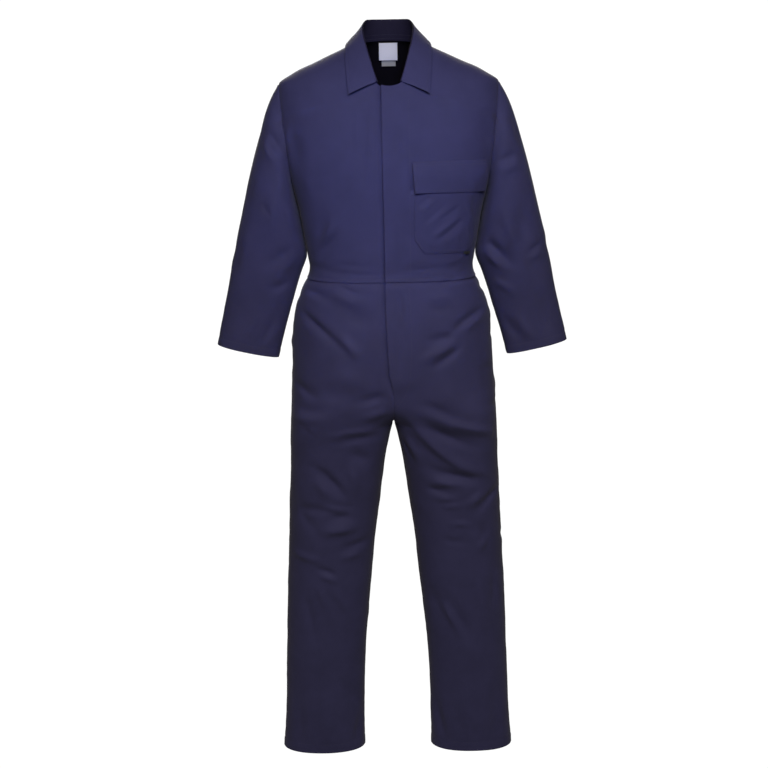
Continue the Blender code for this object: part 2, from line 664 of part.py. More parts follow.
def inward(edge, inside, ring):
    """For each point of a border line, the direction into the panel square to the line."""
    if ring:
        along = unit(np.roll(edge, -1, axis=0) - np.roll(edge, 1, axis=0))
    else:
        along = unit(np.gradient(edge, axis=0))
    to = inside - edge
    return unit(to - (to * along).sum(axis=1, keepdims=True) * along)


def make_walls(panels):
    """Fold the cloth, then give each panel its outer and inner surface, clear of its seams."""
    total = shared_normals(panels)
    for p in panels:
        lift = fold_height(p["points"].reshape(-1, 3)).reshape(p["points"].shape[:2])
        p["folded"] = p["points"] + common_normals(p, total) * lift[..., None]
    for p in panels:
        p["points"] = p.pop("folded")
    total = shared_normals(panels)
    for p in panels:
        p["normal"] = wall_normals(p, total)
        level = level_rows(p)
        p["normal"][level, :, 2] = 0
        p["normal"][level] = unit(p["normal"][level])
        shift = step_back(p["points"], p["ring"]) * SEAM_GAP / 2
        shift[level, :, 2] = 0
        if p["ring"]:
            shift[0] *= SLEEVE_HEAD_STEP
        if p["name"].startswith("trouser"):
            part_at_centre(p, shift)
        p["outer"] = p["points"] + shift - p["normal"] * p["valley"] * SEAM_GAP
        p["inner"] = p["outer"] - p["normal"] * WALL


def part_at_centre(p, shift):
    """Keep a trouser panel off the centre plane, and off its three neighbours at the crotch."""
    side = np.sign(p["points"][0, -1, 0])
    face = np.sign(p["points"][0, 0, 1])
    at_centre = np.abs(p["points"][:, 0, 0]) < SEAM_GAP / 10
    shift[at_centre, 0, 0] = side * SEAM_GAP / 2
    crotch = TROUSER_ROWS.index(CROTCH)
    shift[crotch, 0] = (side * SEAM_GAP / 2, face * SEAM_GAP / 2, 0)
    p["normal"][crotch, 0, 1] = 0
    p["normal"][crotch, 0] = unit(p["normal"][crotch, 0])


def level_rows(p):
    """Rows that stay level through the wall: the waist seam and the trouser hem."""
    if p["name"].startswith("trouser"):
        return [0, len(p["points"]) - 1]
    return [] if p["ring"] else [len(p["points"]) - 1]


# ---------------------------------------------------------------- solids


def material(name, colour, roughness=0.85):
    made = bpy.data.materials.new(name)
    made.use_nodes = True
    shader = made.node_tree.nodes["Principled BSDF"]
    shader.inputs["Base Color"].default_value = (*colour, 1.0)
    shader.inputs["Roughness"].default_value = roughness
    shader.inputs["Metallic"].default_value = 0.0
    return made


def grid_faces(rows, cols, ring, mirrored=0):
    """Triangles of a grid of points, as indices, with the diagonals running one way.

    In the first mirrored columns they run the other way.
    """
    last = cols if ring else cols - 1
    faces = []
    for r in range(rows - 1):
        for c in range(last):
            a, b = r * cols + c, r * cols + (c + 1) % cols
            if c < mirrored:
                faces += [(a, a + cols, b), (b, a + cols, b + cols)]
            else:
                faces += [(a, a + cols, b + cols), (a, b + cols, b)]
    return faces


def border_loops(rows, cols, ring):
    """The grid's borders as loops of indices: two for a ring, one for a sheet."""
    if ring:
        return [list(range(cols)), [(rows - 1) * cols + c for c in range(cols)]]
    top = list(range(cols))
    side = [r * cols + cols - 1 for r in range(1, rows)]
    bottom = [(rows - 1) * cols + c for c in range(cols - 2, -1, -1)]
    other = [r * cols for r in range(rows - 2, 0, -1)]
    return [top + side + bottom + other]


def sheet_solid(name, outer, inner, ring, look, mirrored=0):
    """A closed solid between two grids, with its borders walled up."""
    rows, cols = outer.shape[:2]
    count = rows * cols
    near = grid_faces(rows, cols, ring, mirrored)
    faces = near + [tuple(count + v for v in reversed(f)) for f in near]
    edges = {(f[i], f[(i + 1) % 3]) for f in near for i in range(3)}
    for loop in border_loops(rows, cols, ring):
        for a, b in zip(loop, loop[1:] + loop[:1]):
            a, b = (a, b) if (a, b) in edges else (b, a)
            faces.append((b, a, count + a, count + b))
    points = np.concatenate([outer.reshape(-1, 3), inner.reshape(-1, 3)])
    if signed_volume(points, faces) < 0:
        faces = [tuple(reversed(f)) for f in faces]
    mesh = bpy.data.meshes.new(name)
    mesh.from_pydata(points.tolist(), [], faces)
    mesh.validate()
    mesh.shade_smooth()
    mesh.set_sharp_from_angle(angle=SHARP_EDGE)
    mesh.materials.append(look)
    made = bpy.data.objects.new(name, mesh)
    bpy.context.scene.collection.objects.link(made)
    return made


def signed_volume(points, faces):
    total = 0.0
    for f in faces:
        for i in range(1, len(f) - 1):
            total += np.dot(points[f[0]], np.cross(points[f[i]], points[f[i + 1]]))
    return total


# ---------------------------------------------------------------- pieces that lie on a panel


def on_panel(p, z, lengths, inside=False):
    """Points and normals of a panel at one height, where its rows are level."""
    heights = p["z"][:, 0]
    row = int(np.clip(np.searchsorted(-heights, -z) - 1, 0, len(heights) - 2))
    share = (z - heights[row]) / (heights[row + 1] - heights[row])
    found = []
    for field in ("points", "normal"):
        above, below = (along_row(p, r, lengths, field) for r in (row, row + 1))
        found.append(above * (1 - share) + below * share)
    return found


def along_row(p, row, lengths, field):
    """A field of the panel at each length along one of its rows."""
    known = p["length"][row]
    return np.stack([np.interp(lengths, known, p[field][row, :, k]) for k in range(3)], axis=1)


def laid_piece(name, p, rows, columns, lifts, thickness, look, moved=()):
    """A piece on a panel: rows of heights and columns of lengths, each row lifted off by lifts.

    moved gives (row, column, length, height) for points that leave the grid, as clipped corners.
    """
    at = [[(length, z) for length in columns] for z in rows]
    for row, column, length, z in moved:
        at[row][column] = (length, z)
    under = np.zeros((len(rows), len(columns), 3))
    over = np.zeros_like(under)
    for r in range(len(rows)):
        for c in range(len(columns)):
            length, z = at[r][c]
            point, normal = (v[0] for v in on_panel(p, z, [length]))
            normal = unit(normal)
            under[r, c] = point + normal * (LAY_GAP + lifts[r])
            over[r, c] = under[r, c] + normal * thickness
    return sheet_solid(name, over, under, False, look)


def strip_piece(name, p, rows, columns, look, top_step=0.0):
    """A strip on a panel's first columns, made from the panel's own points."""
    points, normal = p["points"][rows, columns].copy(), p["normal"][rows, columns]
    if top_step:
        down = unit(points[1] - points[0])
        points[0] += down * top_step
    under = points + normal * LAY_GAP
    return sheet_solid(name, under + normal * THIN, under, False, look)


def label(name, back, heights, lengths, look):
    """A flat label inside the back of the neck."""
    middle = back["points"].shape[1] // 2
    z, normal = back["inner"][:, middle, 2], -back["normal"][:, middle]
    rows = [heights[0]] + [v for v in z if heights[1] < v < heights[0]] + [heights[1]]
    y = np.interp(rows, z[::-1], back["inner"][::-1, middle, 1])
    out = unit(np.stack([np.interp(rows, z[::-1], normal[::-1, k]) for k in range(3)], axis=1))
    across = np.array((lengths[0], 0.0, lengths[1]))
    drop = label_drop(back, middle, across, rows)
    parts = np.broadcast_arrays(across[None, :], y[:, None] - drop, np.array(rows)[:, None])
    lift = np.interp(rows, heights[::-1], LABEL_LIFTS[name][::-1])
    near = np.stack(parts, axis=2) + out[:, None, :] * lift[:, None, None]
    return sheet_solid(name, near + out[:, None, :] * LABEL, near, False, look)


def label_drop(back, middle, across, rows):
    """How far the inside of the back comes forward of its centre line at each x and height."""
    inner = back["inner"]
    drop = np.zeros((len(rows), len(across)))
    for k, x in enumerate(across):
        side = 1 if x >= 0 else -1
        first, second = inner[:, middle], inner[:, middle + side]
        share = abs(x) / np.abs(second[:, 0])
        y = first[:, 1] + (second[:, 1] - first[:, 1]) * share
        z = first[:, 2] + (second[:, 2] - first[:, 2]) * share
        centre = np.interp(rows, first[::-1, 2], first[::-1, 1])
        drop[:, k] = centre - np.interp(rows, z[::-1], y[::-1])
    return drop


# ---------------------------------------------------------------- collar


def neckline(front, back):
    """Points and normals along half the neckline, from the centre back to the collar's end."""
    middle = back["points"].shape[1] // 2
    rows = []
    for field in ("points", "normal"):
        behind = back[field][0, middle : middle + NECK_STEPS[BACK] + 1]
        start = front["points"].shape[1] - 1 - len(CHEST_COLUMNS)
        ahead = front[field][0, start : start + NECK_STEPS[FRONT] + 1][::-1]
        before = front[field][0, start - 1]
        x = (front["points"][0, start, 0], front["points"][0, start - 1, 0])
        share = (x[0] - COLLAR_END) / (x[0] - x[1])
        end = ahead[-1] * (1 - share) + before * share
        rows.append(np.concatenate([behind, ahead[1:], [end]]))
    return rows


def collar_half(front, back):
    """The collar cloth's middle surface on the wearer's left, columns from the centre back."""
    points, normals = neckline(front, back)
    run = np.concatenate([[0], np.cumsum(np.linalg.norm(np.diff(points, axis=0), axis=1))])
    finer = np.interp(np.arange(2 * len(run) - 1) / 2, np.arange(len(run)), run)
    columns = []
    for length in finer:
        at = np.array([np.interp(length, run, points[:, k]) for k in range(3)])
        normal = unit(np.array([np.interp(length, run, normals[:, k]) for k in range(3)]))
        columns.append(collar_column(at, normal, length / run[-1]))
    return np.stack(columns, axis=1)


def collar_column(at, normal, u):
    """One section of the collar: up the stand, over the fold and down the fall."""
    fold = np.array([collar_lines[f"fold_{axis}"](u) for axis in "xyz"])
    edge = np.array([collar_lines[f"edge_{axis}"](u) for axis in "xyz"])
    root = at - normal * WALL / 2
    up = unit(fold - root)
    root = root + up * (COLLAR_GAP + abs(up @ normal) * WALL / 2)
    over = edge - fold
    over = unit(over - (over @ up) * up)
    hub = fold - up * COLLAR_ROLL
    turns = np.linspace(0, math.pi, 5)
    roll = [hub + COLLAR_ROLL * (up * math.sin(a) - over * math.cos(a)) for a in turns]
    fall = [roll[-1] + (edge - roll[-1]) * t for t in (1 / 3, 2 / 3, 1)]
    out = unit(over * abs((edge - fold) @ up) + up * abs((edge - fold) @ over))
    fall[0] += out * COLLAR_BULGE
    fall[1] += out * COLLAR_BULGE
    return np.array([root, (root + roll[0]) / 2, *roll, *fall])


def make_collar(front, back, look):
    half = collar_half(front, back)
    middle = np.concatenate([half[:, :0:-1] * (-1, 1, 1), half], axis=1)
    half_wall = unit(grid_normals(middle, 1, False)) * COLLAR_CLOTH / 2
    return sheet_solid("collar", middle + half_wall, middle - half_wall, False, look)


# ---------------------------------------------------------------- the garment


def make_pocket(left, look, tab_look):
    last = len(POCKET_ROWS) - 1, len(POCKET_COLUMNS) - 1
    clips = (
        (last[0], 0, *POCKET_CLIP[0]),
        (last[0], last[1], *POCKET_CLIP[1]),
        (last[0] - 1, last[1], POCKET_COLUMNS[-1], POCKET_RIGHT_CLIP_Z),
    )
    laid_piece("chest_pocket", left, POCKET_ROWS, POCKET_COLUMNS, POCKET_LIFTS, THIN, look, clips)
    laid_piece("pocket_flap", left, FLAP_ROWS, FLAP_COLUMNS, FLAP_LIFTS, THIN, look)
    above = [TAB_LIFT] * len(TAB_ROWS)
    laid_piece("pocket_tab", left, TAB_ROWS, TAB_COLUMNS, above, LABEL, tab_look)


def main():
    for old in list(bpy.data.objects):
        bpy.data.objects.remove(old, do_unlink=True)
    navy = material("navy_cloth", NAVY)
    panels = all_panels()
    make_walls(panels)
    named = {p["name"]: p for p in panels}
    for p in panels:
        mirrored = p["points"].shape[1] // 2 if p["name"] == "back" else 0
        sheet_solid(p["name"], p["outer"], p["inner"], p["ring"], navy, mirrored)
    left, back = named["front_left"], named["back"]
    make_collar(left, back, material("collar_cloth", NAVY_COLLAR))
    lap = slice(0, len(LAP_COLUMNS) + 1)
    strip_piece("placket", left, slice(0, None), lap, navy, PLACKET_TOP_STEP)
    strip_piece("fly", named["trouser_front_left"], slice(0, FLY_ROWS + 1), slice(0, 3), navy)
    make_pocket(left, navy, material("tab_cloth", BLACK))
    label("neck_label", back, *NECK_LABEL, material("label_cloth", WHITE))
    label("care_label", back, *CARE_LABEL, material("care_label_cloth", GREY))


main()
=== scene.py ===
"""Boiler suit: the looks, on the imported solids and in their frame.

Sizes are in metres, and in the tables of folds in millimetres. X runs to the wearer's left, -Y is
the front and Z is up. Each panel of the solids is drawn again as a fine skin from the same
pattern: a place is a height and a length along the cloth from the centre line. The skins then get
their folds, seams, hems and stitches.
"""

import math

import bpy
import numpy as np
from mathutils import Matrix, Vector


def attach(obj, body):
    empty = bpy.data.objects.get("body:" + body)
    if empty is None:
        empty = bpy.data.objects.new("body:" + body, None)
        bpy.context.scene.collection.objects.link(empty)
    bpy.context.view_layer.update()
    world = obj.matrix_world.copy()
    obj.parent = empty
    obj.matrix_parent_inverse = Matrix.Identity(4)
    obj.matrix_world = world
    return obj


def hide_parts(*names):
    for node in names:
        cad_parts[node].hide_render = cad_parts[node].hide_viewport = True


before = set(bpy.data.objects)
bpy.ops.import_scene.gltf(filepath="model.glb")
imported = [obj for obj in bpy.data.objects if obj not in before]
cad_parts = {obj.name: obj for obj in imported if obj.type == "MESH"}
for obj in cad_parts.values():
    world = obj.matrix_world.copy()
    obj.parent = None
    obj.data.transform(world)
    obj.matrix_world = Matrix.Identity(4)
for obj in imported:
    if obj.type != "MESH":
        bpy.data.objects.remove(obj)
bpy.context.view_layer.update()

# ---------------------------------------------------------------- driving sizes

CELL = 0.0042  # of the fine skin
NEAR = (0.0004, 0.0010, 0.0017, 0.0028, 0.0044, 0.0064, 0.0088)  # closer rows by a seam or edge
CLOTH = 0.0009
LAP_CLOTH = 0.0016  # the folded placket, the collar and the pocket's hem
HEM_CLOTH = 0.0019

FRONT, BACK = -1, 1
LEFT, RIGHT = 1, -1

WAIST = -0.490
CROTCH = -0.815
HEM = -1.605
UNDERARM = -0.308
SHOULDER_TIP = (0.2345, -0.080)
NECK_POINT = (0.068, 0.003)
NECK_BACK_Z = 0.010
NECK_FRONT_Z = -0.089

# ---------------------------------------------------------------- level sections, as in the solids

BODICE = (
    ("z", "half_width", "front", "back", "squareness"),
    (0.014, 0.0400, 0.016, 0.0695, 2.4),
    (0.003, 0.0680, 0.027, 0.0738, 2.4),
    (-0.003, 0.0830, 0.033, 0.0762, 2.4),
    (-0.010, 0.0980, 0.038, 0.079, 2.4),
    (-0.020, 0.1205, 0.046, 0.083, 2.4),
    (-0.040, 0.1640, 0.062, 0.092, 2.45),
    (-0.050, 0.1880, 0.069, 0.096, 2.45),
    (-0.060, 0.2060, 0.076, 0.100, 2.5),
    (-0.080, 0.2345, 0.088, 0.107, 2.5),
    (-0.100, 0.2385, 0.097, 0.112, 2.5),
    (-0.140, 0.2405, 0.109, 0.122, 2.6),
    (-0.200, 0.2360, 0.118, 0.131, 2.7),
    (-0.260, 0.2220, 0.122, 0.133, 2.7),
    (-0.308, 0.2083, 0.122, 0.130, 2.7),
    (-0.350, 0.1980, 0.121, 0.124, 2.7),
    (-0.410, 0.1880, 0.119, 0.113, 2.6),
    (-0.450, 0.1815, 0.119, 0.108, 2.55),
    (-0.470, 0.1785, 0.118, 0.106, 2.5),
    (-0.490, 0.1805, 0.118, 0.106, 2.5),
)
TROUSERS = (
    ("z", "outer", "inner", "front", "back", "squareness"),
    (-0.490, 0.1805, 0.0000, 0.118, 0.106, 2.5),
    (-0.500, 0.1860, 0.0000, 0.121, 0.111, 2.5),
    (-0.520, 0.1965, 0.0000, 0.126, 0.121, 2.45),
    (-0.560, 0.2110, 0.0000, 0.133, 0.136, 2.45),
    (-0.600, 0.2175, 0.0000, 0.138, 0.146, 2.4),
    (-0.650, 0.2205, 0.0000, 0.141, 0.152, 2.45),
    (-0.700, 0.2225, 0.0000, 0.139, 0.152, 2.6),
    (-0.750, 0.2260, 0.0000, 0.133, 0.147, 2.85),
    (-0.815, 0.2290, 0.0000, 0.120, 0.136, 3.2),
    (-0.840, 0.2305, 0.0062, 0.114, 0.130, 3.2),
    (-0.860, 0.2315, 0.0105, 0.110, 0.126, 3.1),
    (-0.900, 0.2330, 0.0180, 0.104, 0.120, 2.85),
    (-0.950, 0.2357, 0.0260, 0.098, 0.113, 2.65),
    (-1.000, 0.2385, 0.0325, 0.092, 0.106, 2.45),
    (-1.100, 0.2430, 0.0465, 0.082, 0.093, 2.25),
    (-1.200, 0.2475, 0.0572, 0.075, 0.082, 2.2),
    (-1.300, 0.2520, 0.0673, 0.069, 0.073, 2.2),
    (-1.400, 0.2555, 0.0748, 0.063, 0.066, 2.2),
    (-1.500, 0.2600, 0.0778, 0.058, 0.060, 2.2),
    (-1.605, 0.2680, 0.0785, 0.055, 0.056, 2.2),
)
SEAT_RISE = {FRONT: 0.085, BACK: 0.210}
SEAT_START, SEAT_POWER = 1.5, 1.8
LAP_EDGE = (
    ("z", "length"),
    (-0.086, -0.0170),
    (-0.279, -0.0160),
    (-0.404, -0.0145),
    (-0.574, -0.0135),
    (-0.639, -0.0110),
    (-0.694, -0.0070),
    (-0.725, -0.0010),
    (-0.740, 0.0000),
)
SLEEVE_OUTER = (
    ("z", "x"),
    (-0.080, 0.2345),
    (-0.100, 0.2470),
    (-0.120, 0.2570),
    (-0.140, 0.2650),
    (-0.160, 0.2715),
    (-0.200, 0.2835),
    (-0.250, 0.2975),
    (-0.300, 0.3105),
    (-0.350, 0.3225),
    (-0.400, 0.3345),
    (-0.450, 0.3455),
    (-0.500, 0.3557),
    (-0.550, 0.3665),
    (-0.600, 0.3780),
    (-0.642, 0.3870),
)
SLEEVE_INNER = (
    ("z", "x"),
    (-0.308, 0.2083),
    (-0.320, 0.2057),
    (-0.330, 0.2033),
    (-0.340, 0.2010),
    (-0.360, 0.1970),
    (-0.380, 0.1936),
    (-0.400, 0.1905),
    (-0.420, 0.1873),
    (-0.440, 0.1841),
    (-0.447, 0.1840),
    (-0.462, 0.1880),
    (-0.480, 0.1957),
    (-0.500, 0.2027),
    (-0.540, 0.2152),
    (-0.580, 0.2272),
    (-0.620, 0.2390),
    (-0.672, 0.2525),
)
SLEEVE_DEPTH = (
    ("along", "front", "back"),
    (0.00, 0.060, 0.066),
    (0.12, 0.070, 0.075),
    (0.30, 0.073, 0.077),
    (0.50, 0.066, 0.069),
    (0.70, 0.053, 0.055),
    (0.85, 0.042, 0.044),
    (1.00, 0.034, 0.035),
)
SLEEVE_SQUARENESS = 2.2
INNER_LAG = 1.5
ARMHOLE_BLEND = 0.25
COLLAR = (
    ("u", "fold_x", "fold_y", "fold_z", "edge_x", "edge_y", "edge_z"),
    (0.00, 0.0000, 0.0640, 0.0530, 0.0000, 0.0830, 0.0000),
    (0.15, 0.0240, 0.0595, 0.0530, 0.0340, 0.0780, -0.0005),
    (0.30, 0.0430, 0.0450, 0.0520, 0.0640, 0.0590, 0.0000),
    (0.42, 0.0525, 0.0220, 0.0430, 0.0800, 0.0300, 0.0015),
    (0.50, 0.0545, 0.0040, 0.0335, 0.0860, 0.0060, 0.0000),
    (0.62, 0.0515, -0.0240, 0.0130, 0.0885, -0.0300, -0.0125),
    (0.74, 0.0455, -0.0480, -0.0100, 0.0882, -0.0570, -0.0370),
    (0.87, 0.0355, -0.0745, -0.0445, 0.0862, -0.0820, -0.0700),
    (1.00, 0.0250, -0.0945, -0.0780, 0.0830, -0.1010, -0.1060),
)
COLLAR_END = 0.0255
COLLAR_ROLL = 0.0024
COLLAR_BULGE = 0.0022

CHEST_ROWS = (-0.080, -0.103, -0.127, -0.150, -0.173, -0.196, -0.220, -0.243, -0.276, -0.300)
BODICE_ROWS = (*CHEST_ROWS, UNDERARM, -0.340, -0.372, -0.404, -0.436, -0.463, WAIST)
ARMHOLE_ROWS = (-0.080, -0.0865, -0.106, -0.130, -0.157, -0.186, -0.215, -0.243)
LEVEL_ROW = 7
UNDERARM_ROW = 10
CHEST_COLUMNS = (0.032, 0.049, 0.071, 0.103, 0.135, 0.160, 0.181, 0.199, 0.220)
NECK_STEPS = {FRONT: 3, BACK: 4}
BACK_COLUMNS = 10
SOFT_ROUNDS = 6  # of the normals by a panel's borders
SIDE_COLUMN = 0.262  # length of the bodice's last column, for its spacing only
TROUSER_WIDTH = 0.26  # and of the trousers'
ARC_STEPS = 128
ROW_NEAR_WAIST = 0.002
ROW_NEAR_CROTCH = (0.0002, 0.0006, 0.0013, 0.0022, 0.0032, 0.0045, 0.0062, 0.0085)
ROWS_OFF_CROTCH = 0.012  # where the even rows stop above it, and start again below
ROW_NEAR_HEM = (0.0040, 0.0017, 0.0005, 0.0)
ROWS_OFF_HEM = 0.006
SAME = 1e-6  # places nearer than this are one
MATCH = 1e5  # steps to a metre, in which the points of a seam are matched

# ---------------------------------------------------------------- seams, laps and hems

WAIST_LAP = 0.005  # the bodice goes this far down over the trousers
WAIST_UNDER = 0.006  # and the trousers this far up under it
WAIST_LIFT, WAIST_LIFT_ENDS = 0.0016, (0.004, 0.017)  # the bodice's edge stands off by this
WAIST_SINK, WAIST_SINK_ENDS = 0.0013, (0.010, 0.020)  # and the trousers' edge lies in by this
WAIST_RIDGE = (0.0007, 0.026, 0.008)  # height, distance below their edge, and width
UNDER_LAP = 0.012  # the right front goes this far past the centre line under the left
UNDER_DIP, UNDER_DIP_ENDS = 0.0014, (0.0175, 0.0225)  # it is pressed in under the lap
LAP_LIFT = 0.0034
LAP_SHADE = (0.0036, 0.0038)  # width and depth of the dip in the right front beside the lap
LAP_SHADE_AT = 0.0012  # from the lap's edge
LAP_WIDTH = (0.018, 0.085)  # lengths between which the lap's lift fades out
FLY_END = (-0.742, -0.700)  # heights between which it opens
GROOVE, GROOVE_WIDTH = 0.0008, 0.0013  # of a seam
WELT, WELT_RISE, WELT_FALL = 0.0005, (0.0008, 0.0026), (0.0068, 0.0095)
ARMHOLE_SEAM, UNDERARM_SEAM = 1.5, 2.0  # how many times as strong these are
BY_ARMHOLE = 0.6  # and how much stronger the bodice's last edge is beside an armhole
UNDERARM_START = (0.02, 0.05)  # distances from the armhole between which the underarm seam comes in
FORK_SEAM_RISE = 0.004  # in front, the inside leg's seam comes in over this much of its top
SHOULDER_SEAM_RISE = 0.002  # and the shoulder seam over this much on each side of the neck point
PUCKER_REACH, PUCKER_START, PUCKER_SEED = 0.010, 0.004, 31
PUCKERS = {  # height, and waves to a metre
    "seam": (0.0005, 75.0),
    "side": (0.0004, 75.0),
    "lap": (0.0003, 75.0),
    "waist": (0.0006, 75.0),
    "under waist": (0.0004, 75.0),
    "cuff": (0.0006, 60.0),
    "hem": (0.0006, 50.0),
    "pocket": (0.0005, 90.0),
    "flap": (0.0003, 80.0),
}
UNDER_WAIST_LINE = 0.012  # from the trousers' top edge to the waist seam's puckers
EDGE_RADIUS, EDGE_DROP = 0.0011, 0.45
DENT, DENT_WIDTH = 0.0005, 0.0014  # of a line of stitches
CUFF_HEM = 0.018
TROUSER_HEM = 0.022
HEM_LIFT, HEM_LIFT_ENDS = 0.0004, (-0.002, 0.003)  # it ends around the hem's stitches
HEM_DENT, HEM_DENT_WIDTH = 0.0006, 0.0028
HEM_STEP = 0.001  # its thickness ends within this much of them
SEAM_LINE = 0.0062  # from a seam to its topstitching
VALLEY_TURN = (0.45, 0.8)  # how far own and shared normals agree in a valley, and out of it
CONTACT_END, CONTACT_FADE = -0.466, 0.03  # the sleeves hang against the bodice down to here
CONTACT_TURN = (0.30, 0.80)  # where the cloth faces sideways enough for it
CONTACT_SINK = 0.0003  # folds there don't rise, and sink no further than this
CALM_BY_ARMHOLE = {"sleeve": 0.030, "bodice": 0.020}  # folds fade out this near to its seam
CALM_ROWS = 12  # and come back over this many rows below it

# ---------------------------------------------------------------- folds

# Views that a fold's points are given in: the shown axis, the axis it looks along, and the sign
# of the normals that face it. In F and B the points are (x, z), and in L and R (y, z).
VIEWS = {"F": (0, 1, -1), "B": (0, 1, 1), "L": (1, 0, 1), "R": (1, 0, -1)}

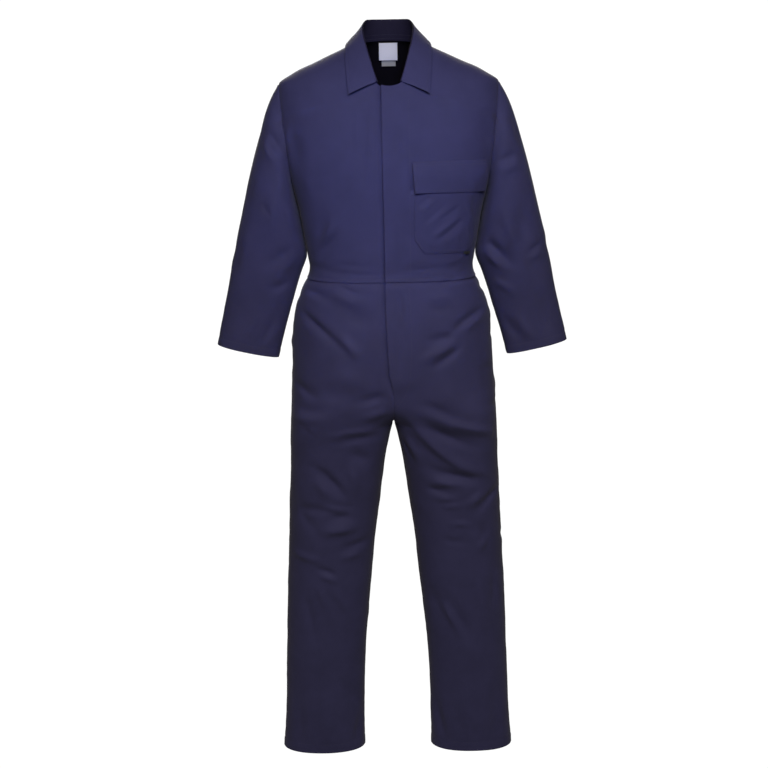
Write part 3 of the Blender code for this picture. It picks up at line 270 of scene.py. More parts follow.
# Folds, in millimetres: a group's view and its folds, each as power, half width, height, skew, peak
# and the places on its path. A place in another view starts with that view's letter. Power 2 is
# soft and 1.5 creased. Skew makes one side steeper, and the peak is where along its path a fold is
# highest. A negative height is a trough.
BODY_FOLDS = (
    ("F", (  # the wearer's left hip
        (1.5, 8.5, -5, 0.2, 0.35, (118, -609), (150, -586), (200, -554), ("L", -20, -535)),
        (2, 12, 3, 0, 0.5, (140, -606), (172, -586), (205, -568)),
        (2, 11, -3.6, 0.1, 0.65, (58, -616), (95, -617), (138, -610)),
        (1.7, 13, 5.2, -0.2, 0.6, (40, -670), (88, -648), (142, -620)),
        (1.8, 11, -4.2, 0.2, 0.6, (70, -684), (110, -661), (155, -628)),
        (2, 12, 2.2, 0, 0.5, (62, -531), (100, -528), (138, -533)),
        (2, 11, -1.6, 0, 0.5, (70, -551), (100, -553), (135, -549)),
        (1.8, 8, -2.4, 0.2, 0.5, (180, -682), (205, -690), ("L", -30, -694)),
        (2, 23, 2.8, 0, 0.5, (70, -722), (115, -736), (165, -762)),
        (2, 12, -2.4, 0, 0.45, (46, -742), (90, -768), (150, -792)),
        (1.6, 9, -3.4, 0.2, 0.6, (172, -763), (205, -771), ("L", -40, -776), ("L", 10, -772)),
    )),
    ("F", (  # from the crotch across the left thigh
        (1.7, 12.5, 4.6, -0.2, 0.35, (12, -747), (60, -776), (115, -799), (175, -817),
         (212, -832), ("L", -30, -842)),
        (1.8, 14, -5, 0.1, 0.45, (40, -790), (85, -820), (140, -846), (205, -872)),
        (1.6, 13, 5.2, 0.2, 0.4, (10, -762), (44, -806), (92, -862), (147, -905),
         (205, -926), ("L", -30, -920)),
        (1.8, 13, -4.6, 0, 0.55, (50, -892), (100, -918), (160, -934), (212, -936)),
        (2, 10, 3.4, 0, 0.5, (70, -934), (110, -942), (155, -950)),
        (1.7, 8.5, -3, 0, 0.4, (66, -955), (92, -961), (128, -965)),
        (2, 8, 2, 0, 0.5, (80, -975), (115, -980), (150, -978)),
        (2, 10, 2.2, 0, 0.3, (20, -830), (44, -870), (62, -915)),
        (1.8, 8, -2.6, 0, 0.3, (16, -838), (34, -880), (46, -925)),
    )),
    ("F", (  # the wearer's left knee and shin
        (1.7, 10, -4.2, 0.2, 0.55, (165, -1026), (192, -1006), (218, -980), ("L", -10, -962)),
        (2, 11, 3.4, 0, 0.5, (150, -1008), (180, -984), (205, -962)),
        (2, 8, 1.8, 0, 0.5, (98, -1004), (130, -998), (158, -1004)),
        (2, 11, -3, 0.1, 0.5, (188, -1036), (200, -1068), (214, -1105)),
        (2, 9, 2.4, 0, 0.5, (176, -1118), (198, -1090), (216, -1060)),
        (2, 8, 1.8, 0, 0.5, (112, -1048), (142, -1040), (176, -1046)),
        (2, 9, -1.6, 0, 0.5, (100, -1072), (132, -1084), (168, -1078)),
        (2, 15, -2.6, 0, 0.5, (104, -1190), (140, -1262), (180, -1356)),
        (2, 9, 3, 0, 0.45, (98, -1220), (126, -1272), (160, -1335)),
        (2, 19, -2.8, 0, 0.4, (80, -1190), (96, -1250), (112, -1318)),
        (2, 12, -2.6, 0, 0.5, (214, -1145), (222, -1200), (224, -1262)),
        (2, 14, 2.6, 0, 0.5, (176, -1150), (196, -1230), (206, -1320)),
        (2, 15, -3.6, 0, 0.6, (84, -1440), (94, -1520), (114, -1600)),
        (2, 18, 2.8, 0, 0.6, (150, -1400), (160, -1500), (170, -1604)),
        (2, 16, -2.8, 0, 0.6, (222, -1420), (226, -1510), (232, -1604)),
    )),
    ("F", (  # the wearer's right hip
        (1.5, 10, -4.8, -0.2, 0.5, ("R", -30, -545), (-180, -572), (-140, -604), (-88, -650)),
        (1.8, 11, 3.8, 0.2, 0.5, (-128, -594), (-100, -622), (-66, -662)),
        (2, 12, 3.2, 0, 0.45, (-140, -508), (-88, -533), (-38, -530)),
        (1.8, 10, -3.4, 0.2, 0.4, ("R", -40, -512), (-150, -526), (-118, -542)),
        (1.7, 6, -2.2, 0, 0.4, (-120, -501), (-95, -509), (-64, -524)),
        (2, 21, -2.8, 0, 0.5, (-118, -556), (-75, -570), (-30, -576)),
        (2, 22, 2.4, 0, 0.5, (-150, -680), (-100, -700), (-40, -700)),
        (1.7, 12, -3.6, 0.1, 0.7, (-112, -756), (-60, -748), (-10, -733)),
        (2, 11, 3.2, 0, 0.7, (-95, -790), (-50, -783), (-8, -766)),
        (1.7, 11, -3.8, 0.2, 0.45, ("R", -40, -715), (-202, -726), (-158, -746)),
        (1.9, 13, -2.8, 0.1, 0.45, ("R", -50, -762), (-190, -772), (-148, -770), (-105, -762)),
        (2, 11, 2, 0, 0.4, ("R", -60, -790), (-200, -792), (-140, -788)),
        (1.8, 12, -3, 0, 0.4, ("R", -50, -815), (-196, -812), (-138, -802)),
        (2, 9, 2.2, 0, 0.5, (-165, -834), (-90, -820), (-14, -806)),
        (2, 9, -2, 0, 0.5, (-150, -850), (-85, -838), (-20, -826)),
        (2, 16, -3.8, 0, 0.5, (-108, -856), (-82, -874), (-48, -902)),
        (1.6, 12, -4.6, -0.2, 0.5, (-204, -890), (-157, -915), (-116, -964), (-96, -1004)),
        (2, 13, 3.6, 0, 0.4, (-100, -890), (-88, -930), (-82, -985)),
        (2, 12, 2.6, 0, 0.5, (-180, -925), (-160, -950), (-140, -985)),
    )),
    ("F", (  # the wearer's right knee and shin
        (1.8, 9, 3.2, 0, 0.5, (-182, -992), (-135, -1000), (-95, -1004)),
        (1.8, 11, -3.4, 0, 0.55, (-158, -1022), (-125, -1021), (-86, -1018)),
        (1.8, 13, 4.4, 0.1, 0.5, (-182, -1058), (-125, -1052), (-68, -1044)),
        (2, 13.5, -3.6, 0.1, 0.5, ("R", -30, -985), (-200, -1004), (-176, -1056), (-154, -1118)),
        (2, 10, 2.6, 0, 0.45, ("R", -30, -1112), (-206, -1118), (-178, -1124), (-152, -1136)),
        (1.9, 12, -3, 0, 0.5, (-142, -1104), (-92, -1092), (-46, -1078)),
        (2, 9, 2.2, 0, 0.5, (-134, -1122), (-100, -1116), (-70, -1112)),
        (2, 8, -2.6, 0, 0.5, (-186, -1142), (-158, -1150), (-128, -1160)),
        (2, 8, 2.2, 0, 0.5, (-176, -1160), (-150, -1168), (-126, -1182)),
        (2, 10, 2.2, 0, 0.3, (-178, -1178), (-160, -1230), (-140, -1290)),
        (2, 10, 1.8, 0, 0.4, (-150, -1180), (-124, -1225), (-92, -1290)),
        (2, 12, -2.2, 0, 0.5, (-210, -1180), (-196, -1260), (-186, -1350)),
        (2, 15, -3.4, 0, 0.5, (-130, -1390), (-112, -1450), (-84, -1530)),
        (2, 15, -2.8, 0, 0.6, (-78, -1470), (-88, -1540), (-104, -1602)),
        (2, 18, 2.6, 0, 0.6, (-160, -1420), (-162, -1510), (-168, -1604)),
        (2, 15, -2.6, 0, 0.6, (-222, -1440), (-226, -1520), (-232, -1604)),
    )),
    ("F", (  # the bodice, above the waist and by the armholes
        (2, 12, -4.6, 0, 0.55, (-130, -338), (-150, -385), (-172, -440)),
        (1.8, 10, -4.2, 0, 0.55, (-108, -384), (-140, -418), (-170, -456)),
        (2, 11, 3.6, 0, 0.5, (-112, -350), (-136, -396), (-160, -432)),
        (1.8, 6.5, 2.4, 0, 0.35, ("R", -30, -446), (-160, -452), (-122, -462)),
        (1.8, 6, -2.4, 0, 0.35, ("R", -30, -458), (-156, -466), (-112, -474)),
        (2, 7, 1.8, 0, 0.4, ("R", -20, -470), (-150, -478), (-100, -484)),
        (1.8, 7, -2.6, 0, 0.6, (92, -474), (130, -466), (166, -454), ("L", -20, -448)),
        (1.8, 6.5, 2.4, 0, 0.6, (104, -462), (136, -455), (168, -443), ("L", -20, -436)),
        (1.7, 6, -2.2, 0, 0.4, (90, -507), (114, -498), (142, -491)),
        (2, 23, -3.4, 0, 0.6, (-190, -130), (-200, -200), (-190, -270)),
        (2, 22, -2.6, 0, 0.6, (196, -120), (204, -180), (200, -238)),
        (2, 18, 2, 0, 0.5, (-160, -240), (-176, -300), (-180, -350)),
        (2, 20, -1.6, 0, 0.3, (-105, -70), (-110, -130), (-100, -190)),
        (2, 20, -1.4, 0, 0.3, (105, -80), (112, -130), (104, -190)),
        (2, 10, 1.6, 0, 0.5, (10, -330), (20, -400), (16, -470)),
    )),
    ("F", (  # by the lap's top end, along the lap, and over the waist seam
        (2, 7, -2.2, 0, 0.3, (-23, -94), (-25, -118), (-26, -150)),
        (2, 5, 0.8, 0, 0.4, (-40, -120), (-42, -200), (-40, -300)),
        (2, 4.5, -0.7, 0, 0.6, (-52, -130), (-55, -230), (-54, -330)),
        (2, 4.5, 0.6, 0, 0.5, (-66, -110), (-70, -190), (-68, -270)),
        (2, 4.5, -0.6, 0, 0.5, (24, -130), (26, -210), (25, -310)),
        (2, 6, -1.3, 0, 0.3, (12, -508), (19, -540), (24, -600)),
        (2, 5, 1, 0, 0.4, (22, -512), (30, -560), (32, -640)),
        (2, 5, -0.9, 0, 0.6, (6, -560), (10, -640), (12, -710)),
        (2, 5.5, 0.9, 0, 0.7, (24, -620), (22, -690), (14, -740)),
        (2, 4, -0.9, 0, 0.4, (-130, -452), (-70, -458), (-20, -456)),
        (2, 3.5, 0.7, 0, 0.5, (-150, -464), (-100, -468), (-40, -470)),
        (2, 3.5, -0.7, 0, 0.6, (-110, -478), (-60, -479), (-10, -476)),
        (2, 4, -0.8, 0, 0.5, (20, -462), (60, -468), (120, -464)),
        (2, 3.5, 0.7, 0, 0.4, (30, -474), (80, -479), (140, -472)),
    )),
    ("F", (  # where the flap's corner stands off
        (1.8, 4.8, -3.4, 0, 0.8, (44, -252), (45, -285), (45.5, -312)),
    )),
    ("L", (  # the wearer's left side, from the waist down
        (1.7, 9, -3, 0.1, 0.4, (-60, -508), (-10, -520), (50, -528)),
        (2, 12, 2.8, 0, 0.5, (-50, -590), (10, -575), (70, -552)),
        (1.8, 11, -3.4, 0.1, 0.5, (-60, -640), (0, -620), (80, -590)),
        (2, 13, 3, 0, 0.5, (-40, -730), (20, -742), (80, -770)),
        (1.8, 12, -3.6, 0.1, 0.5, (-30, -872), (30, -862), (85, -835)),
        (2, 11, 3, 0, 0.5, (-20, -1010), (30, -1030), (70, -1045)),
        (1.7, 10, -3.4, 0, 0.5, (-40, -1075), (10, -1092), (60, -1086)),
        (2, 14, 2.6, 0, 0.5, (20, -1180), (10, -1280), (20, -1380)),
    )),
    ("R", (  # and the right side
        (1.7, 9, -3, 0.1, 0.4, (-30, -530), (20, -536), (70, -522)),
        (2, 13, 3, 0, 0.5, (-50, -620), (10, -640), (80, -650)),
        (1.8, 11, -3.4, 0.1, 0.5, (-20, -680), (40, -700), (90, -722)),
        (2, 12, 3, 0, 0.5, (-30, -850), (30, -842), (80, -860)),
        (1.8, 11, -3.4, 0, 0.5, (0, -925), (50, -940), (80, -960)),
        (2, 11, 3.2, 0, 0.5, (-30, -1045), (20, -1058), (70, -1050)),
        (1.7, 10, -3.4, 0, 0.5, (-10, -1082), (30, -1100), (75, -1112)),
        (2, 14, 2.6, 0, 0.5, (10, -1200), (24, -1300), (16, -1420)),
    )),
    ("B", (  # the back, from the shoulders to the waist
        (2, 24, -4.4, 0, 0.6, (112, -110), (140, -185), (158, -280)),
        (2, 20, 3, 0, 0.6, (150, -120), (176, -200), (182, -270)),
        (2, 24, -4.2, 0, 0.6, (-118, -116), (-142, -190), (-150, -270)),
        (2, 20, 2.8, 0, 0.6, (-156, -110), (-178, -190), (-186, -266)),
        (2, 18, -2.2, 0, 0.5, (-70, -150), (0, -166), (66, -152)),
        (2, 20, 2.2, 0, 0.5, (-50, -240), (4, -300), (10, -380)),
        (1.8, 15, -4.4, 0.1, 0.4, (-165, -384), (-100, -420), (-24, -448)),
        (1.8, 15, -4.4, -0.1, 0.4, (168, -372), (95, -420), (14, -458)),
        (2, 12, 3.6, 0, 0.45, (-168, -408), (-110, -444), (-50, -464)),
        (2, 12, 3.6, 0, 0.45, (170, -398), (115, -440), (52, -472)),
        (1.7, 8, -2.8, 0, 0.4, (160, -458), (110, -470), (60, -480)),
        (1.7, 8, -2.8, 0, 0.4, (-164, -444), (-120, -466), (-74, -476)),
    )),
    ("B", (  # the seat
        (2, 10, -2.6, 0, 0.3, (60, -502), (82, -530), (90, -565)),
        (2, 10, -2.6, 0, 0.3, (-52, -502), (-70, -534), (-74, -575)),
        (2, 9, 2.4, 0, 0.3, (110, -502), (128, -534), (140, -566)),
        (2, 9, 2.4, 0, 0.3, (-104, -502), (-122, -530), (-130, -570)),
        (1.7, 15, -5.6, 0.2, 0.4, (20, -782), (80, -812), (150, -838), ("L", 60, -846)),
        (1.7, 15, -5.6, -0.2, 0.4, (-20, -788), (-85, -808), (-155, -832), ("R", 60, -836)),
        (1.8, 15, 4.6, 0, 0.4, (14, -754), (70, -786), (150, -806)),
        (1.8, 15, 4.4, 0, 0.4, (-14, -760), (-80, -780), (-160, -798)),
        (1.8, 15, 4.4, 0, 0.45, (26, -824), (90, -850), (170, -872)),
        (1.8, 14, 4.4, 0, 0.45, (-28, -820), (-95, -842), (-175, -862)),
        (1.8, 15, -5, 0, 0.5, (50, -858), (120, -884), (195, -904)),
        (1.8, 15, -5, 0, 0.5, (-45, -856), (-110, -880), (-188, -900)),
        (2, 18, -3, 0, 0.4, (20, -700), (70, -680), (120, -690)),
        (2, 18, -2.8, 0, 0.4, (-16, -706), (-66, -690), (-110, -702)),
    )),
    ("B", (  # the backs of the knees and the calves
        (1.8, 14, -3.6, 0.1, 0.5, (62, -1086), (130, -1072), (210, -1058)),
        (1.8, 14, -3.6, -0.1, 0.5, (-66, -1060), (-130, -1074), (-212, -1088)),
        (1.9, 12, 3, 0, 0.5, (64, -1110), (132, -1100), (205, -1092)),
        (1.9, 12, 3, 0, 0.5, (-70, -1088), (-135, -1102), (-208, -1116)),
        (1.8, 15, -3.4, 0, 0.5, (74, -1132), (140, -1136), (220, -1152)),
        (1.8, 15, -3.4, 0, 0.5, (-78, -1144), (-140, -1132), (-216, -1120)),
        (1.8, 11, 3.6, 0, 0.5, (70, -1044), (135, -1036), (200, -1020)),
        (1.8, 11, 3.6, 0, 0.5, (-70, -1024), (-140, -1040), (-206, -1046)),
        (1.8, 11, -3.4, 0, 0.4, (60, -980), (110, -996), (160, -1000)),
        (1.8, 11, -3.4, 0, 0.4, (-56, -990), (-105, -976), (-158, -984)),
        (2, 15, -3.2, 0, 0.4, (110, -1180), (150, -1260), (190, -1360)),
        (2, 15, -3.2, 0, 0.4, (-190, -1170), (-160, -1260), (-120, -1350)),
        (2, 16, 3, 0, 0.5, (140, -1170), (176, -1260), (210, -1350)),
        (2, 16, 3, 0, 0.5, (-150, -1180), (-125, -1260), (-95, -1340)),
        (2, 16, -3.2, 0, 0.6, (120, -1400), (128, -1500), (132, -1604)),
        (2, 16, -3.2, 0, 0.6, (-210, -1410), (-200, -1500), (-196, -1604)),
        (2, 18, 2.8, 0, 0.6, (190, -1420), (200, -1510), (206, -1604)),
        (2, 18, 2.8, 0, 0.6, (-130, -1420), (-140, -1510), (-136, -1604)),
    )),
)
SLEEVE_FOLDS = {
    LEFT: (
        ("F", (
            (2, 11, -3, 0, 0.5, (222, -254), (246, -240), (274, -230)),
            (2, 11, 2.6, 0, 0.5, (226, -278), (250, -262), (280, -252)),
            (1.5, 12, -6.2, 0.1, 0.3, (193, -404), (217, -428), (244, -454), (280, -486)),
            (1.7, 11, 4, 0, 0.4, (196, -436), (222, -458), (254, -490)),
            (1.8, 13, 4.2, 0, 0.6, (232, -320), (250, -380), (270, -446)),
            (2, 11, -2.8, 0, 0.5, (262, -330), (280, -380), (296, -430)),
            (1.8, 7, -2.4, 0, 0.5, (292, -444), (308, -434), (328, -420)),
            (2, 8, 2, 0, 0.5, (286, -462), (306, -452), (330, -442)),
            (2, 10, 2.4, 0, 0.4, (214, -500), (246, -516), (280, -540)),
            (2, 12, -2.6, 0, 0.5, (236, -570), (262, -612), (292, -652)),
            (2, 11, 2.2, 0, 0.5, (266, -560), (288, -606), (316, -650)),
            (2, 11, -2.2, 0, 0.5, (320, -540), (334, -590), (350, -640)),
            (2, 13, -2.6, 0, 0.5, (256, -130), (268, -176), (282, -226)),
            (2, 16, 2.6, 0, 0.5, (290, -260), (304, -320), (316, -380)),
        )),
        ("B", (
            (1.8, 14, -3.6, 0, 0.3, (205, -394), (250, -416), (310, -428)),
            (1.8, 12, 4, 0, 0.4, (208, -424), (255, -444), (315, -452)),
            (1.8, 13, -3, 0, 0.3, (206, -458), (255, -474), (320, -476)),
            (2, 13, 3.2, 0, 0.5, (220, -360), (265, -372), (310, -392)),
            (2, 15, -3.2, 0, 0.4, (226, -190), (250, -240), (268, -310)),
            (2, 15, 3, 0, 0.5, (252, -170), (276, -230), (290, -300)),
            (2, 13, -2.6, 0, 0.5, (250, -540), (282, -590), (316, -646)),
        )),
        ("L", (
            (2, 16, -1.4, 0, 0.5, (-30, -440), (0, -432), (34, -442)),
            (2, 16, 1.2, 0, 0.5, (-30, -400), (4, -408), (36, -402)),
        )),
    ),
    RIGHT: (
        ("F", (
            (1.7, 10, -3.8, 0, 0.5, (-262, -168), (-240, -200), (-216, -232)),
            (1.8, 8, -3, 0, 0.5, (-262, -196), (-250, -214), (-238, -238)),
            (2, 10, 2.8, 0, 0.5, (-272, -186), (-254, -224), (-232, -262)),
            (2, 14, 2.6, 0, 0.5, (-240, -280), (-250, -350), (-256, -420)),
            (1.8, 8, -2.4, 0, 0.5, (-276, -320), (-266, -342), (-254, -362)),
            (1.9, 13, -2, 0, 0.4, (-196, -414), (-236, -440), (-292, -470)),
            (2, 13, 1.6, 0, 0.4, (-198, -446), (-232, -468), (-276, -494)),
            (2, 10, -2.2, 0, 0.4, (-212, -492), (-244, -510), (-280, -520)),
            (2, 13, 1.4, 0, 0.5, (-300, -400), (-316, -440), (-330, -480)),
            (2, 12, -2.6, 0, 0.5, (-250, -560), (-270, -606), (-300, -650)),
            (2, 12, 2.2, 0, 0.5, (-290, -556), (-308, -600), (-332, -644)),
            (2, 13, -2.4, 0, 0.5, (-262, -126), (-280, -190), (-294, -260)),
        )),
        ("B", (
            (1.8, 14, -3.6, 0, 0.3, (-204, -408), (-255, -414), (-318, -406)),
            (1.8, 12, 4, 0, 0.4, (-206, -438), (-256, -442), (-322, -432)),
            (1.8, 13, -3, 0, 0.3, (-208, -468), (-258, -470), (-326, -462)),
            (2, 13, 3.2, 0, 0.5, (-214, -376), (-262, -384), (-308, -376)),
            (2, 15, -3.2, 0, 0.4, (-230, -180), (-252, -240), (-266, -320)),
            (2, 15, 3, 0, 0.5, (-256, -160), (-280, -230), (-294, -310)),
            (2, 13, -2.6, 0, 0.5, (-256, -550), (-290, -600), (-326, -644)),
        )),
        ("R", (
            (2, 16, -1.2, 0, 0.5, (-32, -420), (0, -430), (34, -424)),
            (2, 16, 1, 0, 0.5, (-30, -456), (4, -462), (36, -452)),
        )),
    ),
}
FOLD_GAIN, FOLD_WIDEN = 1.6, 1.2
FOLD_DIP = 0.55  # how far the cloth beside a fold goes the other way
FOLD_REACH = 3.6  # half widths beyond which a fold has no effect
FOLD_FACING = (0.2, 0.7)  # how far cloth must face the way of the fold's own, to take part in it
TURNED_AWAY, FAR = 0.12, 9.0  # cloth that hardly faces a view isn't found in it
FOLD_CURVE = 6  # steps from one point of a fold's path to the next
FAN = 0.5  # a fold widens away from its peak
FAN_FROM = 0.25  # and it has its own width at this share of its length from it
SIDE_CALM = 0.45  # how much lower the folds are on the sides, where they'd show in the outline
SIDE_TURN = (0.60, 0.95)  # where the cloth faces sideways enough for it

# How uneven the cloth is at each height, as a share of the waves' full heights.
UNEVEN = (
    ("z", "share"),
    (0.02, 0.15),
    (-0.12, 0.25),
    (-0.35, 0.45),
    (-0.50, 0.70),
    (-0.70, 1.00),
    (-1.00, 1.00),
    (-1.25, 0.75),
    (-1.60, 0.60),
)
WAVES = (  # height, then waves to a metre across, in depth and up, and a seed
    (0.00150, (7.0, 7.0, 5.0), 3),
    (0.00085, (17.0, 17.0, 21.0), 11),
    (0.00032, (32.0, 32.0, 38.0), 17),
    (0.00018, (58.0, 58.0, 66.0), 23),
)


# ---------------------------------------------------------------- smooth tables


def smooth(xs, ys):
    """A function through the points that never swings past them (monotone cubic)."""
    order = np.argsort(xs)
    x, y = np.array(xs, float)[order], np.array(ys, float)[order]
    step = np.diff(x)
    slope = np.diff(y) / step
    tangent = np.concatenate([slope[:1], np.zeros(len(x) - 2), slope[-1:]])
    for i in range(1, len(x) - 1):
        if slope[i - 1] * slope[i] > 0:
            after, before = 2 * step[i] + step[i - 1], step[i] + 2 * step[i - 1]
            tangent[i] = (after + before) / (after / slope[i - 1] + before / slope[i])

    def at(v):
        v = np.clip(np.asarray(v, float), x[0], x[-1])
        i = np.clip(np.searchsorted(x, v) - 1, 0, len(step) - 1)
        t = (v - x[i]) / step[i]
        rise = tangent[i] * (t**3 - 2 * t**2 + t) + tangent[i + 1] * (t**3 - t**2)
        return y[i] * (2 * t**3 - 3 * t**2 + 1) + y[i + 1] * (3 * t**2 - 2 * t**3) + step[i] * rise

    return at


def columns_of(table):
    """Each named column of a table as a smooth function of its first column."""
    names, rows = table[0], table[1:]
    first = [row[0] for row in rows]
    return {name: smooth(first, [row[k] for row in rows]) for k, name in enumerate(names) if k}


bodice = columns_of(BODICE)
trousers = columns_of(TROUSERS)
sleeve_depth = columns_of(SLEEVE_DEPTH)
sleeve_outer = columns_of(SLEEVE_OUTER)
sleeve_inner = columns_of(SLEEVE_INNER)
lap_edge = columns_of(LAP_EDGE)["length"]
collar_lines = columns_of(COLLAR)
unevenness = columns_of(UNEVEN)["share"]


def ease(low, high, v):
    """0 below low and 1 above high, smoothly between."""
    t = np.clip((v - low) / (high - low), 0, 1)
    return t * t * (3 - 2 * t)


def bell(distance, width):
    """1 at distance 0, falling smoothly on both sides."""
    return np.exp(-((distance / width) ** 2))


def unit(v):
    """Vectors made one long."""
    return v / np.maximum(np.linalg.norm(v, axis=-1, keepdims=True), 1e-12)


def lengths_along(line):
    """The length along a line of points to each of them."""
    return np.concatenate([[0], np.cumsum(np.linalg.norm(np.diff(line, axis=0), axis=1))])


def read_at(at, run, line):
    """The line's values at the lengths at, where run is the length to each of its points."""
    return np.stack([np.interp(at, run, column) for column in line.T], axis=-1)


def metres(*sizes):
    """Sizes of a table that is in millimetres."""
    return [size / 1000 for size in sizes]


# ---------------------------------------------------------------- places on the form


def half_section(z, face):
    """Centre, half width, depth, power and first angle of the half section at each height."""
    above = z > WAIST
    depth_name = "front" if face == FRONT else "back"
    power = np.where(above, bodice["squareness"](z), trousers["squareness"](z))
    depth = np.where(above, bodice[depth_name](z), trousers[depth_name](z))
    risen = np.clip((z - CROTCH) / SEAT_RISE[face], 0, 1)
    close = (1 - risen**SEAT_START) ** SEAT_POWER
    outer, inner = trousers["outer"](z), trousers["inner"](z)
    hip_half = outer / (1 + close)
    in_leg = z <= CROTCH
    half = np.where(above, bodice["half_width"](z), np.where(in_leg, (outer - inner) / 2, hip_half))
    centre = np.where(above, 0.0, np.where(in_leg, (outer + inner) / 2, close * hip_half))
    share = np.where(above, 0.0, np.where(in_leg, 1.0, close))
    lift = np.maximum(1 - share**power, 0) ** (1 / power)
    return centre, half, depth, power, math.pi - np.arctan2(lift, share)


def arc(section, angle):
    """x and depth of the section's point at each angle, 0 at the side."""
    centre, half, depth, power = (v[:, None] for v in section[:4])
    c, s = np.cos(angle), np.abs(np.sin(angle))
    reach = (np.abs(c) ** power + s**power) ** (-1 / power)
    return centre + half * reach * c, depth * reach * s


def arc_lengths(section):
    """Angles from the section's start to the side, and the length along the cloth to each."""
    angle = section[4][:, None] * np.linspace(1, 0, ARC_STEPS)
    x, y = arc(section, angle)
    length = np.cumsum(np.hypot(np.diff(x), np.diff(y)), axis=1)
    return angle, np.concatenate([np.zeros((len(x), 1)), length], axis=1)


def side_length(z, face):
    """Length along the cloth from the centre line to the side, at each height."""
    z = np.atleast_1d(np.asarray(z, float))
    return arc_lengths(half_section(z, face))[1][:, -1]


def length_at(z, x, face):
    """Length along the cloth from the centre line to the place at x, at each height."""
    z, x = np.atleast_1d(z).astype(float), np.atleast_1d(x).astype(float)
    section = half_section(z, face)
    centre, half, _, power, _ = section
    u = np.clip((x - centre) / half, -1, 1)
    v = (1 - np.abs(u) ** power) ** (1 / power)
    angle, length = arc_lengths(section)
    want = np.arctan2(v, u)
    return np.array([np.interp(-want[i], -angle[i], length[i]) for i in range(len(z))])


def place(z, length, face):
    """Points in space of the places (z, length). A negative length is across the centre line."""
    shape = np.shape(z)
    z, length = np.ravel(z).astype(float), np.ravel(length).astype(float)
    section = half_section(z, face)
    angle, run = arc_lengths(section)
    want = np.clip(np.abs(length), 0, run[:, -1])
    i = np.clip((run <= want[:, None]).sum(axis=1) - 1, 0, ARC_STEPS - 2)
    row = np.arange(len(z))
    low, high = run[row, i], run[row, i + 1]
    share = (want - low) / np.maximum(high - low, 1e-12)
    wanted = angle[row, i] * (1 - share) + angle[row, i + 1] * share
    x, y = arc(section, wanted[:, None])
    x = np.where(length < 0, -x[:, 0], x[:, 0])
    return np.stack([x, face * y[:, 0], z], axis=1).reshape(*shape, 3)


# ---------------------------------------------------------------- fine rows and columns


def steps_along(knots, near_start=(), near_end=()):
    """Places along the knots, as fractions of their index, closer together near the ends."""
    run = np.concatenate([[0], np.cumsum(np.abs(np.diff(knots)))])
    low = near_start[-1] if near_start else 0.0
    high = run[-1] - (near_end[-1] if near_end else 0.0)
    middle = np.linspace(low, high, max(2, round((high - low) / CELL) + 1))
    at = np.concatenate([[0.0], near_start, middle, run[-1] - np.array(near_end), [run[-1]]])
    at = np.sort(at)
    at = at[np.concatenate([[True], np.diff(at) > SAME])]
    return np.interp(at, run, np.arange(len(knots)))


def neck_front(turn):
    """x and height on the front neckline, 0 at the neck point."""
    x = NECK_POINT[0] * np.cos(turn)
    return x, NECK_POINT[1] + (NECK_FRONT_Z - NECK_POINT[1]) * np.sin(turn)


def neck_back(turn):
    """x and height on the back neckline, 0 at the centre."""
    x = NECK_POINT[0] * np.sin(turn)
    return x, NECK_POINT[1] + (NECK_BACK_Z - NECK_POINT[1]) * np.cos(turn) ** 2


def neck_front_at(x):
    """Height of the front neckline at x."""
    return neck_front(np.arccos(np.clip(np.abs(x) / NECK_POINT[0], 0, 1)))[1]


def armhole_x(z):
    """The armhole as seen from the front: a straight line from the shoulder to the underarm."""
    lean = (SHOULDER_TIP[1] - z) / (SHOULDER_TIP[1] - UNDERARM)
    return SHOULDER_TIP[0] + (bodice["half_width"](UNDERARM) - SHOULDER_TIP[0]) * lean


def top_line(face, cols, fixed):
    """Heights and lengths along the neckline and the shoulder seam, at each column from 0."""
    steps, last = NECK_STEPS[face], len(fixed)
    share = np.clip(cols / steps, 0, 1)
    if face == FRONT:
        x, z = neck_front(math.acos(fixed[0] / NECK_POINT[0]) * (1 - share))
    else:
        x, z = neck_back(math.pi / 2 * share)
    ridge = np.linspace(NECK_POINT[1], SHOULDER_TIP[1], ARC_STEPS)
    run = lengths_along(np.stack([bodice["half_width"](ridge), ridge], axis=1))
    along = np.clip((cols - steps) / (last - steps), 0, 1)
    on_ridge = cols >= steps
    z = np.where(on_ridge, np.interp(along * run[-1], run, ridge), z)
    return z, np.where(on_ridge, side_length(z, face), length_at(z, x, face))


